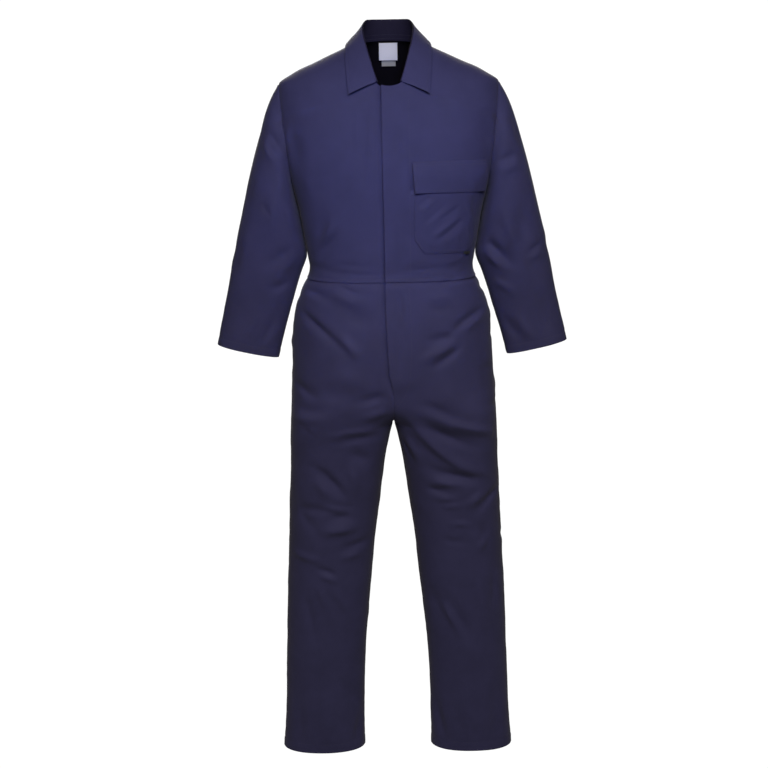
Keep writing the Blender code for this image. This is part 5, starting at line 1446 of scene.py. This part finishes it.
TAB_AT = ((0.1600, 0.1800), (-0.4345, -0.4405))
TAB_LIFT, TAB_BACK, TAB_BOW = 0.0036, 0.0028, 0.0004
POCKET_GRID, FLAP_GRID, TAB_GRID = (46, 38), (18, 40), (5, 12)  # even rows and columns
CLOSE_BY_EDGE = (0.12, 0.3, 0.6)  # further ones this many steps from each edge


def crinkles(length, z, table):
    """Small straight folds on the pocket."""
    total = np.zeros_like(z)
    for l1, z1, l2, z2, half_width, high in table:
        run = np.array((l2 - l1, z2 - z1))
        share = np.clip(((length - l1) * run[0] + (z - z1) * run[1]) / (run @ run), 0, 1)
        away = np.hypot(length - l1 - share * run[0], z - z1 - share * run[1])
        shape = (1 - FOLD_DIP * (away / half_width) ** 2) * bell(away, half_width)
        total += high * shape * ease(0, CRINKLE_ENDS, share) * ease(0, CRINKLE_ENDS, 1 - share)
    return total


def laid_grid(counts, near=(0.3,)):
    """Shares of rows and columns from 0 to 1, closer together by the edges."""
    axes = []
    for count in counts:
        even = np.linspace(0, 1, count)
        extra = np.array(near) * even[1]
        axes.append(np.unique(np.round(np.concatenate([even, extra, 1 - extra]), 7)))
    return axes


def border_distances(points):
    """Distances along a grid's lines to its top, to its bottom and to the nearer side."""
    by = borders(points)
    return by["from_top"], by["from_bottom"], np.minimum(by["from_first"], by["from_last"])


def make_pocket(left, look):
    """The pocket, puffed out in its middle, with crinkles and two rows of stitches."""
    s, t = laid_grid(POCKET_GRID, CLOSE_BY_EDGE)
    length = POCKET_SIDES[0] + (POCKET_SIDES[1] - POCKET_SIDES[0]) * t
    bottom = np.interp(length, *zip(*POCKET_BOTTOM))
    z = POCKET_TOP + (bottom - POCKET_TOP)[None, :] * s[:, None]
    length = np.broadcast_to(length[None, :], z.shape)
    base, normal = on_cloth(left, z, length)
    _, low, sides = border_distances(base)
    edge = np.minimum(low, sides)
    puff = POCKET_PUFF * ease(*POCKET_PUFF_ENDS, edge) + pucker(base, edge, "pocket")
    stitched = sum(stitch_groove(edge, *dent) for dent in POCKET_DENTS)
    creased = crinkles(length, z, POCKET_CRINKLES) * ease(*POCKET_CALM, edge)
    lift = POCKET_LIFT + puff + stitched + creased + edge_round(edge, POCKET_EDGE)
    outer, inner = base + normal * lift[..., None], base + normal * POCKET_BACK
    return skin("chest_pocket", outer, inner, normal, np.stack([length, z], axis=-1), 1, (look,))


def make_flap(left, look):
    """The flap. It stands off more and more down to its lower edge, most at one corner."""
    s, t = laid_grid(FLAP_GRID, CLOSE_BY_EDGE)
    down = s[:, None]
    z = FLAP_HEIGHTS[0] + (FLAP_HEIGHTS[1] - FLAP_HEIGHTS[0]) * down
    first, last = (top + (low - top) * down for top, low in FLAP_SIDES)
    length = first + (last - first) * t[None, :]
    z = np.broadcast_to(z, length.shape)
    base, normal = on_cloth(left, z, length)
    top, low, sides = border_distances(base)
    hem = np.minimum(low, sides)
    bow = FLAP_BOW * np.sin(math.pi * down)
    stand = FLAP_STAND[0] + FLAP_STAND[1] * ease(*FLAP_STAND_ENDS, down) + bow
    corner = ease(*FLAP_CORNER_ENDS, down) * (1 - ease(0.0, FLAP_CORNER_SHARE, t))[None, :]
    stand = stand + FLAP_CORNER * corner
    high, waves, seed = FLAP_WAVES
    waves = high * cloud(base.reshape(-1, 3) * waves, seed).reshape(z.shape) * down
    line = stitch_groove(top, *FLAP_TOP_DENT) + stitch_groove(hem, *FLAP_SIDE_DENT)
    lift = stand * ease(*FLAP_LIFT_ENDS, down) + FLAP_LIFT + waves + line
    lift += edge_round(np.minimum(hem, top + FLAP_TOP_GAP), FLAP_EDGE) + pucker(base, hem, "flap")
    outer = base + normal * lift[..., None]
    uv = np.stack([length, z], axis=-1)
    return skin("pocket_flap", outer, outer - normal * FLAP_THICK, normal, uv, 1, (look,))


def make_tab(left, look):
    """The small tab at the pocket's lower edge."""
    s, t = laid_grid(TAB_GRID)
    (a, b), (top, low) = TAB_AT
    length, z = np.meshgrid(a + (b - a) * t, top + (low - top) * s)
    base, normal = on_cloth(left, z, length)
    bow = TAB_BOW * np.sin(math.pi * t)[None, :]
    outer, inner = base + normal * (TAB_LIFT + bow)[..., None], base + normal * TAB_BACK
    return shell("pocket_tab", outer, inner, np.stack([length, z], axis=-1), 1, (look,))


# ---------------------------------------------------------------- labels

# Heights and x of the edges, and how far the top and the lower edge are off the back's cloth.
NECK_LABEL = ((0.0045, -0.0322), (-0.0195, 0.0205), 0.0024, 0.0048)
CARE_LABEL = ((-0.0285, -0.0445), (-0.0140, 0.0165), 0.0012, 0.0026)
LABEL_THICK, LABEL_BOW, LABEL_CURL = 0.0005, 0.0005, 0.0008
LABEL_BOW_TURN = 3.0  # radians of a sine across it
LABEL_GRID = (14, 14)


def make_label(name, heights, sides, lift_top, lift_low, look):
    """A label inside the back, sewn at its top. Its lower corners curl forward."""
    s, t = laid_grid(LABEL_GRID)
    (top, low), (first, last) = heights, sides
    z, x = np.meshgrid(top + (low - top) * s, first + (last - first) * t, indexing="ij")
    s, t = s[:, None], t[None, :]
    lift = lift_top + (lift_low - lift_top) * s + LABEL_BOW * np.sin(LABEL_BOW_TURN * t)
    lift = lift + LABEL_CURL * s**3 * (2 * t - 1) ** 2
    near = place(z, x, BACK) - np.array((0.0, 1.0, 0.0)) * (CLOTH + lift)[..., None]
    far = near + np.array((0.0, LABEL_THICK, 0.0))
    return shell(name, near, far, np.stack([x, z], axis=-1), 1, (look,))


# ---------------------------------------------------------------- collar

STAND_STEPS, ROLL_STEPS, FALL_STEPS = 11, 9, 20
COLLAR_ROOT = 0.0010  # the stand starts this far inside the neckline
COLLAR_LIFT = 0.0050  # the fall's edge stands off the bodice by this more
COLLAR_COLUMNS, COLLAR_NEAR_END = 62, (0.0004, 0.0011, 0.0022, 0.004)
COLLAR_WAVES = ((0.0006, 26.0, 9), (0.00022, 80.0, 13))  # height, waves to a metre, and a seed
COLLAR_DENT, COLLAR_DENT_WIDTH = 0.00035, 0.0015
COLLAR_END_GAP = 0.006  # the even columns stop this far from its end
COLLAR_CROWDING = 1.15  # power that draws the fall's rows to its edge
COLLAR_ROUND = 0.8  # how much of an edge's rounding each of its sides gets
ON_FALL = (-3, 4)  # rows around the fall's first, between which its relief comes in


def neckline(front, back):
    """Points and normals along half the neckline, from the centre back to the collar's end."""
    middle = back["middle"]
    cols_back = np.abs(back["points"][0, middle:, 0]) <= NECK_POINT[0] + SAME
    behind = slice(middle, middle + int(cols_back.sum()))
    x = front["points"][0, :, 0]
    ahead = np.flatnonzero((x < NECK_POINT[0] - SAME) & (x > COLLAR_END))[::-1]
    last = np.interp(COLLAR_END, x[: ahead[-1] + 2], np.arange(ahead[-1] + 2))
    found = []
    for field in ("points", "normal"):
        k = int(last)
        end = front[field][0, k] * (1 - last + k) + front[field][0, k + 1] * (last - k)
        found.append(np.concatenate([back[field][0, behind], front[field][0, ahead], [end]]))
    return found


def collar_column(at, normal, u):
    """One section of the collar: up the stand, over the fold and down the fall."""
    fold, edge = (
        np.array([float(collar_lines[f"{line}_{axis}"](u)) for axis in "xyz"])
        for line in ("fold", "edge")
    )
    root = at - normal * COLLAR_ROOT
    up = unit(fold - root)
    over = edge - fold
    over = unit(over - (over @ up) * up)
    hub = fold - up * COLLAR_ROLL
    turns = np.linspace(0, math.pi, ROLL_STEPS)
    roll = [hub + COLLAR_ROLL * (up * math.sin(a) - over * math.cos(a)) for a in turns]
    stand = [root + (roll[0] - root) * t for t in np.linspace(0, 1, STAND_STEPS)[:-1]]
    out = unit(over * abs((edge - fold) @ up) + up * abs((edge - fold) @ over))
    shares = 1 - (1 - np.linspace(0, 1, FALL_STEPS)[1:]) ** COLLAR_CROWDING
    lift = COLLAR_BULGE * np.sin(math.pi * shares) + COLLAR_LIFT * shares
    fall = [roll[-1] + (edge - roll[-1]) * t + out * h for t, h in zip(shares, lift)]
    return np.array([*stand, *roll, *fall])


def make_collar(front, back, looks):
    """The collar, end to end. The side of its stand that faces the neck has the second look: the same
    cloth, darkened as painted shade.
    """
    points, normals = neckline(front, back)
    run = lengths_along(points)
    even = np.linspace(0, run[-1] - COLLAR_END_GAP, COLLAR_COLUMNS)
    at = np.concatenate([even, run[-1] - np.array(COLLAR_NEAR_END)[::-1], [run[-1]]])
    places = zip(read_at(at, run, points), unit(read_at(at, run, normals)), at / run[-1])
    half = np.stack([collar_column(*place) for place in places], axis=1)
    middle = np.concatenate([half[:, :0:-1] * (-1, 1, 1), half], axis=1)
    normal = grid_normals(middle, -1, False)
    down, low, sides = border_distances(middle)
    edge = np.minimum(low, sides)
    below_fold = np.arange(len(middle)) - (STAND_STEPS + ROLL_STEPS - 1)
    on_fall = ease(*ON_FALL, below_fold)[:, None]
    line = -COLLAR_DENT * bell(edge - SEAM_LINE, COLLAR_DENT_WIDTH) * on_fall
    large, small = (
        high * cloud(middle.reshape(-1, 3) * waves, seed).reshape(down.shape)
        for high, waves, seed in COLLAR_WAVES
    )
    middle = middle + normal * (large * on_fall + small + line)[..., None]
    half_wall = (LAP_CLOTH / 2 + edge_round(edge, LAP_CLOTH) * COLLAR_ROUND)[..., None] * normal
    uv = np.stack(np.broadcast_arrays(np.concatenate([-at[:0:-1], at])[None, :], -down), axis=-1)
    # the stand's faces that face the neck, which take the painted shade
    stand = slice(0, (middle.shape[1] - 1) * (STAND_STEPS + ROLL_STEPS // 2))
    return skin("collar", middle + half_wall, middle - half_wall, normal, uv, -1, looks, stand)


# ---------------------------------------------------------------- materials

RIB_HEIGHT, GRAIN_HEIGHT = 0.00018, 0.0001


def node(tree, kind, inputs, **settings):
    """A new node. Each input is a value, or another node's output to wire to it."""
    made = tree.nodes.new(f"ShaderNode{kind}")
    for name, value in settings.items():
        setattr(made, name, value)
    fill(tree, made, inputs)
    return made


def fill(tree, made, inputs):
    """Sets or wires a node's inputs."""
    for name, value in inputs.items():
        if isinstance(value, bpy.types.NodeSocket):
            tree.links.new(value, made.inputs[name])
        else:
            made.inputs[name].default_value = value


def new_material(name):
    """A material, its tree and its shader."""
    material = bpy.data.materials.new(name)
    material.use_nodes = True
    return material, material.node_tree, material.node_tree.nodes["Principled BSDF"]


def blend(tree, share, first, second, **settings):
    """The output of a node that mixes two colours."""
    inputs = {"Factor": share, "A": first, "B": second}
    return node(tree, "Mix", inputs, data_type="RGBA", **settings).outputs["Result"]


def bump(tree, height, strength, distance):
    """The output of a node that turns heights into normals."""
    inputs = {"Strength": strength, "Distance": distance, "Height": height}
    return node(tree, "Bump", inputs).outputs["Normal"]


def twill(name, dark, light, shine=0.22, sheen=0.05):
    """Woven cotton twill: fine diagonal ribs, a slightly uneven dye and a soft sheen."""
    material, tree, shader = new_material(name)
    cloth = {"Vector": node(tree, "UVMap", {}, uv_map="cloth").outputs["UV"]}
    bands = {"wave_type": "BANDS", "bands_direction": "DIAGONAL", "wave_profile": "SIN"}
    weave = {"Scale": 330.0, "Distortion": 1.2, "Detail": 1.0, "Detail Scale": 1.5}
    ribs = node(tree, "TexWave", cloth | weave, **bands)
    yarn = node(tree, "TexNoise", cloth | {"Scale": 900.0, "Detail": 2.0})
    dye = node(tree, "TexNoise", cloth | {"Scale": 14.0, "Detail": 5.0, "Roughness": 0.62})
    limits = {"Value": dye.outputs["Fac"], "From Min": 0.32, "From Max": 0.68}
    spread = node(tree, "MapRange", limits).outputs["Result"]
    colour = blend(tree, spread, (*dark, 1), (*light, 1))
    colour = blend(tree, 0.22, colour, ribs.outputs["Color"], blend_type="MULTIPLY")
    relief = {0: yarn.outputs["Fac"], 1: 0.5, 2: ribs.outputs["Fac"]}
    height = node(tree, "Math", relief, operation="MULTIPLY_ADD").outputs["Value"]
    soft = {"Sheen Weight": sheen, "Sheen Roughness": 0.45, "Sheen Tint": (1.0, 0.96, 0.94, 1)}
    gloss = {"Roughness": 0.80, "Specular IOR Level": shine}
    look = {"Base Color": colour, "Normal": bump(tree, height, 0.35, RIB_HEIGHT)}
    fill(tree, shader, look | gloss | soft)
    return material


def woven(name, dark, light, roughness, scale, strength):
    """A smooth woven or satin cloth with a fine cross grain."""
    material, tree, shader = new_material(name)
    cloth = {"Vector": node(tree, "UVMap", {}, uv_map="cloth").outputs["UV"]}
    grain = node(tree, "TexNoise", cloth | {"Scale": scale, "Detail": 3.0}).outputs["Fac"]
    colour = blend(tree, grain, (*dark, 1), (*light, 1))
    normal = bump(tree, grain, strength, GRAIN_HEIGHT)
    fill(tree, shader, {"Base Color": colour, "Normal": normal, "Roughness": roughness})
    return material


def thread_material():
    """Dull navy thread, a little uneven in tone."""
    material, tree, shader = new_material("navy_thread")
    inside = {"Vector": node(tree, "TexCoord", {}).outputs["Object"]}
    tone = node(tree, "TexNoise", inside | {"Scale": 300.0}).outputs["Fac"]
    colour = blend(tree, tone, *((*shade, 1) for shade in NAVY_THREAD))
    fill(tree, shader, {"Base Color": colour, "Roughness": 0.55})
    return material


# ---------------------------------------------------------------- the garment

NAVY = ((0.0262, 0.0250, 0.0820), (0.0312, 0.0298, 0.0960))
# The neck-facing side of the collar's stand: the same navy cloth, darkened as painted shade for the
# hollow of the neck.
NAVY_STAND_SHADE = ((0.0125, 0.0105, 0.0300), (0.0150, 0.0128, 0.0355))
# The wrong side: partly the duller back of the twill, mostly painted shade that darkens the inside of
# the hollow garment nearly to black.
NAVY_INSIDE_SHADE = ((0.0022, 0.0016, 0.0044), (0.0030, 0.0022, 0.0058))
NAVY_THREAD = ((0.012, 0.012, 0.034), (0.022, 0.021, 0.060))
# Two colours, roughness, scale of the grain, and strength of its relief.
TAB_WEAVE = ((0.008, 0.008, 0.009), (0.020, 0.020, 0.022), 0.6, 1500.0, 0.3)
LABEL_SATIN = ((0.60, 0.60, 0.74), (0.70, 0.70, 0.84), 0.5, 1200.0, 0.2)
CARE_SATIN = ((0.24, 0.24, 0.27), (0.32, 0.32, 0.35), 0.55, 1200.0, 0.2)


def line_at_length(p, length, z_top, z_low):
    """A line down a front panel at one length from the centre line."""
    rows = np.flatnonzero((p["z"][:, -1] <= z_top) & (p["z"][:, -1] >= z_low)).astype(float)
    return on_rows(p, rows, np.full(len(rows), length))


def line_by_places(p, places):
    """A line through places (length, z) of a panel."""
    lengths, z = curve_through(np.array(places)).T
    return on_rows(p, row_at(p, z), lengths)


# Lines of stitches: the border that each follows, its distance from it, and for some the part.
WAIST_LINE = ("bottom", 0.0075)
LAP_LINE = (0.040, -0.100, -0.484)  # length from the centre line, and the heights of its ends
POCKET_LINES = (
    ("first", 0.0017),
    ("last", 0.0017),
    ("bottom", 0.0017),
    ("bottom", 0.0070, slice(4, -4)),
)
FLAP_LINES = (
    ("top", 0.0085),
    ("top", 0.0018),
    ("first", 0.0060),
    ("last", 0.0060),
    ("bottom", 0.0060),
)
# The borders of trouser panels that are topstitched, and the heights between which they are.
SIDE_AND_INSEAM = {"last": (WAIST - 0.008, -math.inf), "first": (CROTCH - 0.02, -math.inf)}
TROUSER_LINES = {
    (FRONT, RIGHT): SIDE_AND_INSEAM,
    (FRONT, LEFT): SIDE_AND_INSEAM,
    (BACK, LEFT): {"first": (WAIST - 0.01, CROTCH + 0.01)},
}
FALL = slice(STAND_STEPS + ROLL_STEPS, None)
COLLAR_LINES = (("first", SEAM_LINE, FALL), ("last", SEAM_LINE, FALL), ("bottom", SEAM_LINE))
STAND_LINES, STAND_LINE_ENDS = (1.2, 3.0), 4.0  # rows of its grid, and columns left free
OPEN_ARMHOLE = 0.3  # an armhole is stitched where it is less of a valley than this
FLY_STITCH = (
    (0.0360, -0.500),
    (0.0385, -0.560),
    (0.0395, -0.620),
    (0.0385, -0.670),
    (0.0330, -0.712),
    (0.0220, -0.742),
    (0.0090, -0.762),
    (0.0015, -0.770),
)


def bodice_lines(named):
    """By the waist, the shoulder seams, the side seams and the lap."""
    right, left, back = (named[name] for name in ("front_right", "front_left", "back"))
    ridge = np.flatnonzero(np.abs(back["points"][0, :, 0]) > NECK_POINT[0] + SHOULDER_SEAM_RISE)
    halves = (ridge[ridge < back["middle"]], ridge[ridge > back["middle"]])
    return [
        *(inset(p, *WAIST_LINE) for p in (right, left, back)),
        *(inset(back, "top", SEAM_LINE, half) for half in halves),
        *(inset(p, "last", SEAM_LINE, slice(ARM_ROWS, None)) for p in (right, left)),
        line_at_length(left, *LAP_LINE),
    ]


def trim_lines(pocket, flap, collar):
    """On the pocket, its flap and the collar."""
    made = []
    for grid, lines in ((pocket, POCKET_LINES), (flap, FLAP_LINES), (collar, COLLAR_LINES)):
        made += [inset(grid, *line) for line in lines]
    cols = np.arange(STAND_LINE_ENDS, collar["outer"].shape[1] - STAND_LINE_ENDS)
    return made + [sample(collar, np.full(len(cols), row), cols) for row in STAND_LINES]


def sleeve_lines(p):
    """By the armhole, where it isn't in a valley, and along the cuff."""
    open_part = np.flatnonzero(p["valley"][0] < OPEN_ARMHOLE)
    parts = np.split(open_part, np.flatnonzero(np.diff(open_part) > 1) + 1)
    return [*(inset(p, "top", SEAM_LINE, part) for part in parts), inset(p, "bottom", CUFF_HEM)]


def trouser_lines(p):
    """Along the hem, and by the seams that are topstitched."""
    made = [inset(p, "bottom", TROUSER_HEM)]
    for border, (high, low) in TROUSER_LINES.get((p["face"], p["side"]), {}).items():
        rows = np.flatnonzero((TROUSER_ROWS < high) & (TROUSER_ROWS > low))
        made.append(inset(p, border, SEAM_LINE, rows))
    return made


def all_lines(named, pocket, flap, collar):
    """The lines of stitches, by the piece that they become."""
    arms = [named[name] for name in ("sleeve_right", "sleeve_left")]
    legs = [p for name, p in named.items() if name.startswith("trouser")]
    fly = line_by_places(named["trouser_front_left"], FLY_STITCH)
    return {
        "stitches_bodice": bodice_lines(named) + trim_lines(pocket, flap, collar),
        "stitches_sleeves": [line for p in arms for line in sleeve_lines(p)],
        "stitches_trousers": [line for p in legs for line in trouser_lines(p)] + [fly],
    }


def build():
    """Every piece of the garment, by name."""
    navy = twill("navy_twill", *NAVY)
    # Inside of every panel: the back of the twill, darkened as painted shade for the hollow inside.
    wrong_side_shade = twill("navy_twill_wrong_side", *NAVY_INSIDE_SHADE, shine=0.08, sheen=0.0)
    # The collar stand's neck-facing side: the same cloth, a darker copy as painted shade.
    shaded = twill("navy_twill_stand_shade", *NAVY_STAND_SHADE, shine=0.12, sheen=0.0)
    panels = all_panels()
    shape_panels(panels)
    named = {p["name"]: p for p in panels}
    made = {}
    for name, p in named.items():
        grids = (p["outer"], p["inner"], p["uv"], p["out"])
        made[name] = shell(name + "_cloth", *grids, (navy, wrong_side_shade), p["ring"])
    left, back = named["front_left"], named["back"]
    made["collar"], collar = make_collar(left, back, (navy, shaded))
    made["chest_pocket"], pocket = make_pocket(left, navy)
    made["pocket_flap"], flap = make_flap(left, navy)
    made["pocket_tab"] = make_tab(left, woven("tab_weave", *TAB_WEAVE))
    white, grey = woven("label_satin", *LABEL_SATIN), woven("care_label_satin", *CARE_SATIN)
    made["neck_label"] = make_label("neck_label_cloth", *NECK_LABEL, white)
    made["care_label"] = make_label("care_label_cloth", *CARE_LABEL, grey)
    thread = thread_material()
    for name, lines in all_lines(named, pocket, flap, collar).items():
        made[name] = stitches(name, lines, thread)
    return made


# Each cloth piece: the cut of what shows as width and length, its area as cut, and how it is held.
CUTS = {
    "front_right": ((0.300, 0.505), 0.124, "hung"),
    "front_left": ((0.305, 0.505), 0.125, "hung"),
    "back": ((0.540, 0.520), 0.258, "hung"),
    "sleeve_right": ((0.500, 0.600), 0.198, "hung"),
    "sleeve_left": ((0.500, 0.600), 0.197, "hung"),
    "trouser_front_right": ((0.320, 1.130), 0.326, "hung"),
    "trouser_front_left": ((0.320, 1.130), 0.327, "hung"),
    "trouser_back_right": ((0.340, 1.130), 0.337, "hung"),
    "trouser_back_left": ((0.340, 1.130), 0.337, "hung"),
    "collar": ((0.500, 0.110), 0.047, "folded"),
    "chest_pocket": ((0.150, 0.186), 0.0272, "laid"),
    "pocket_flap": ((0.180, 0.067), 0.0119, "laid"),
    "pocket_tab": ((0.023, 0.0102), 0.00015, "laid"),
    "neck_label": ((0.040, 0.0395), 0.00156, "hung"),
    "care_label": ((0.0305, 0.0175), 0.00053, "hung"),
}
ALSO_REPLACES = {"front_left": ("placket",), "trouser_front_left": ("fly",)}


def declare(made):
    """Attaches each piece where it rides, and hides the imported parts that a cloth piece replaces.
    """
    for name, obj in made.items():
        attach(obj, "root")
        if name in CUTS:
            nodes = (name, *ALSO_REPLACES.get(name, ()))
            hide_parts(*nodes)


# ---------------------------------------------------------------- stage, light and camera

CAMERA_AT = (-0.020, -2.976, -0.106)
CAMERA_PITCH = math.radians(12.0)
CAMERA_ROLL = math.radians(0.9)
CAMERA_LENS, CAMERA_SENSOR = 63.74, 36.0
CAMERA_REACH = 60.0
FLOOR_Z, FLOOR_HALF = -1.66, 14.0
SEEN_WHITE = 1.05  # strength of the white that the camera sees
COOL, WARM = (0.36, 0.50, 1.0), (1.0, 0.95, 0.80)
# Each light behind the garment: its place, where it aims, its width and height, watts, colour and
# spread in degrees. The same two stand in front, turned round.
LIGHTS = {
    "key": ((-0.22, 2.20, 0.50), (0.03, 0.0, -0.30), (0.4, 0.4), 0.70, COOL, 24),
    "fill": ((-0.12, 2.10, 1.00), (0.0, 0.0, -1.15), (2.2, 1.2), 23.8, WARM, 95),
}


def show_white(tree, real, white, output):
    """Lets the camera see plain white, where the light meets something else."""
    ray = node(tree, "LightPath", {}).outputs["Is Camera Ray"]
    mix = node(tree, "MixShader", {"Fac": ray, 1: real.outputs[0], 2: white.outputs[0]})
    tree.links.new(mix.outputs["Shader"], tree.nodes[output].inputs["Surface"])


def white_floor():
    """A plain floor that the camera sees as white and that throws little light back."""
    material, tree, shader = new_material("floor_white")
    fill(tree, shader, {"Base Color": (0.35, 0.35, 0.35, 1), "Roughness": 0.9})
    show_white(tree, shader, node(tree, "Emission", {"Strength": SEEN_WHITE}), "Material Output")
    mesh = bpy.data.meshes.new("floor")
    r = FLOOR_HALF
    corners = [(x, y, FLOOR_Z) for x, y in ((-r, -r), (r, -r), (r, r), (-r, r))]
    mesh.from_pydata(corners, [], [(0, 1, 2, 3)])
    mesh.materials.append(material)
    floor = bpy.data.objects.new("floor", mesh)
    bpy.context.scene.collection.objects.link(floor)


def soft_world():
    """A faint warm light from all around, which the camera sees as white."""
    world = bpy.data.worlds.new("studio")
    world.use_nodes = True
    tree = world.node_tree
    fill(tree, tree.nodes["Background"], {"Color": (1.0, 0.93, 0.72, 1), "Strength": 0.07})
    white = node(tree, "Background", {"Color": (1, 1, 1, 1), "Strength": SEEN_WHITE})
    show_white(tree, tree.nodes["Background"], white, "World Output")
    bpy.context.scene.world = world


def area_light(name, turn, at, target, size, watts, colour, spread):
    """A rectangular light that faces its target."""
    data = bpy.data.lights.new(name, "AREA")
    data.shape, data.size, data.size_y = "RECTANGLE", *size
    data.color, data.energy, data.spread = colour, watts, math.radians(spread)
    lamp = bpy.data.objects.new(name, data)
    bpy.context.scene.collection.objects.link(lamp)
    at, target = (Vector((x * turn, y * turn, z)) for x, y, z in (at, target))
    lamp.location = at
    lamp.rotation_euler = (at - target).to_track_quat("Z", "Y").to_euler()


def set_camera():
    """The camera that the photo was solved for."""
    scene = bpy.context.scene
    camera = bpy.data.objects.new("camera", bpy.data.cameras.new("camera"))
    scene.collection.objects.link(camera)
    camera.data.sensor_width, camera.data.lens = CAMERA_SENSOR, CAMERA_LENS
    camera.data.clip_end = CAMERA_REACH
    pitched = Matrix.Rotation(math.pi / 2 - CAMERA_PITCH, 4, "X")
    camera.location = CAMERA_AT
    camera.rotation_euler = (pitched @ Matrix.Rotation(-CAMERA_ROLL, 4, "Z")).to_euler()
    scene.camera = camera


def set_stage():
    """Floor, world, lights and camera."""
    white_floor()
    soft_world()
    for where, turn in (("front", -1), ("rear", 1)):
        for kind, light in LIGHTS.items():
            area_light(f"{where}_{kind}", turn, *light)
    bpy.context.scene.view_settings.view_transform = "Standard"
    set_camera()


made = build()
declare(made)
set_stage()
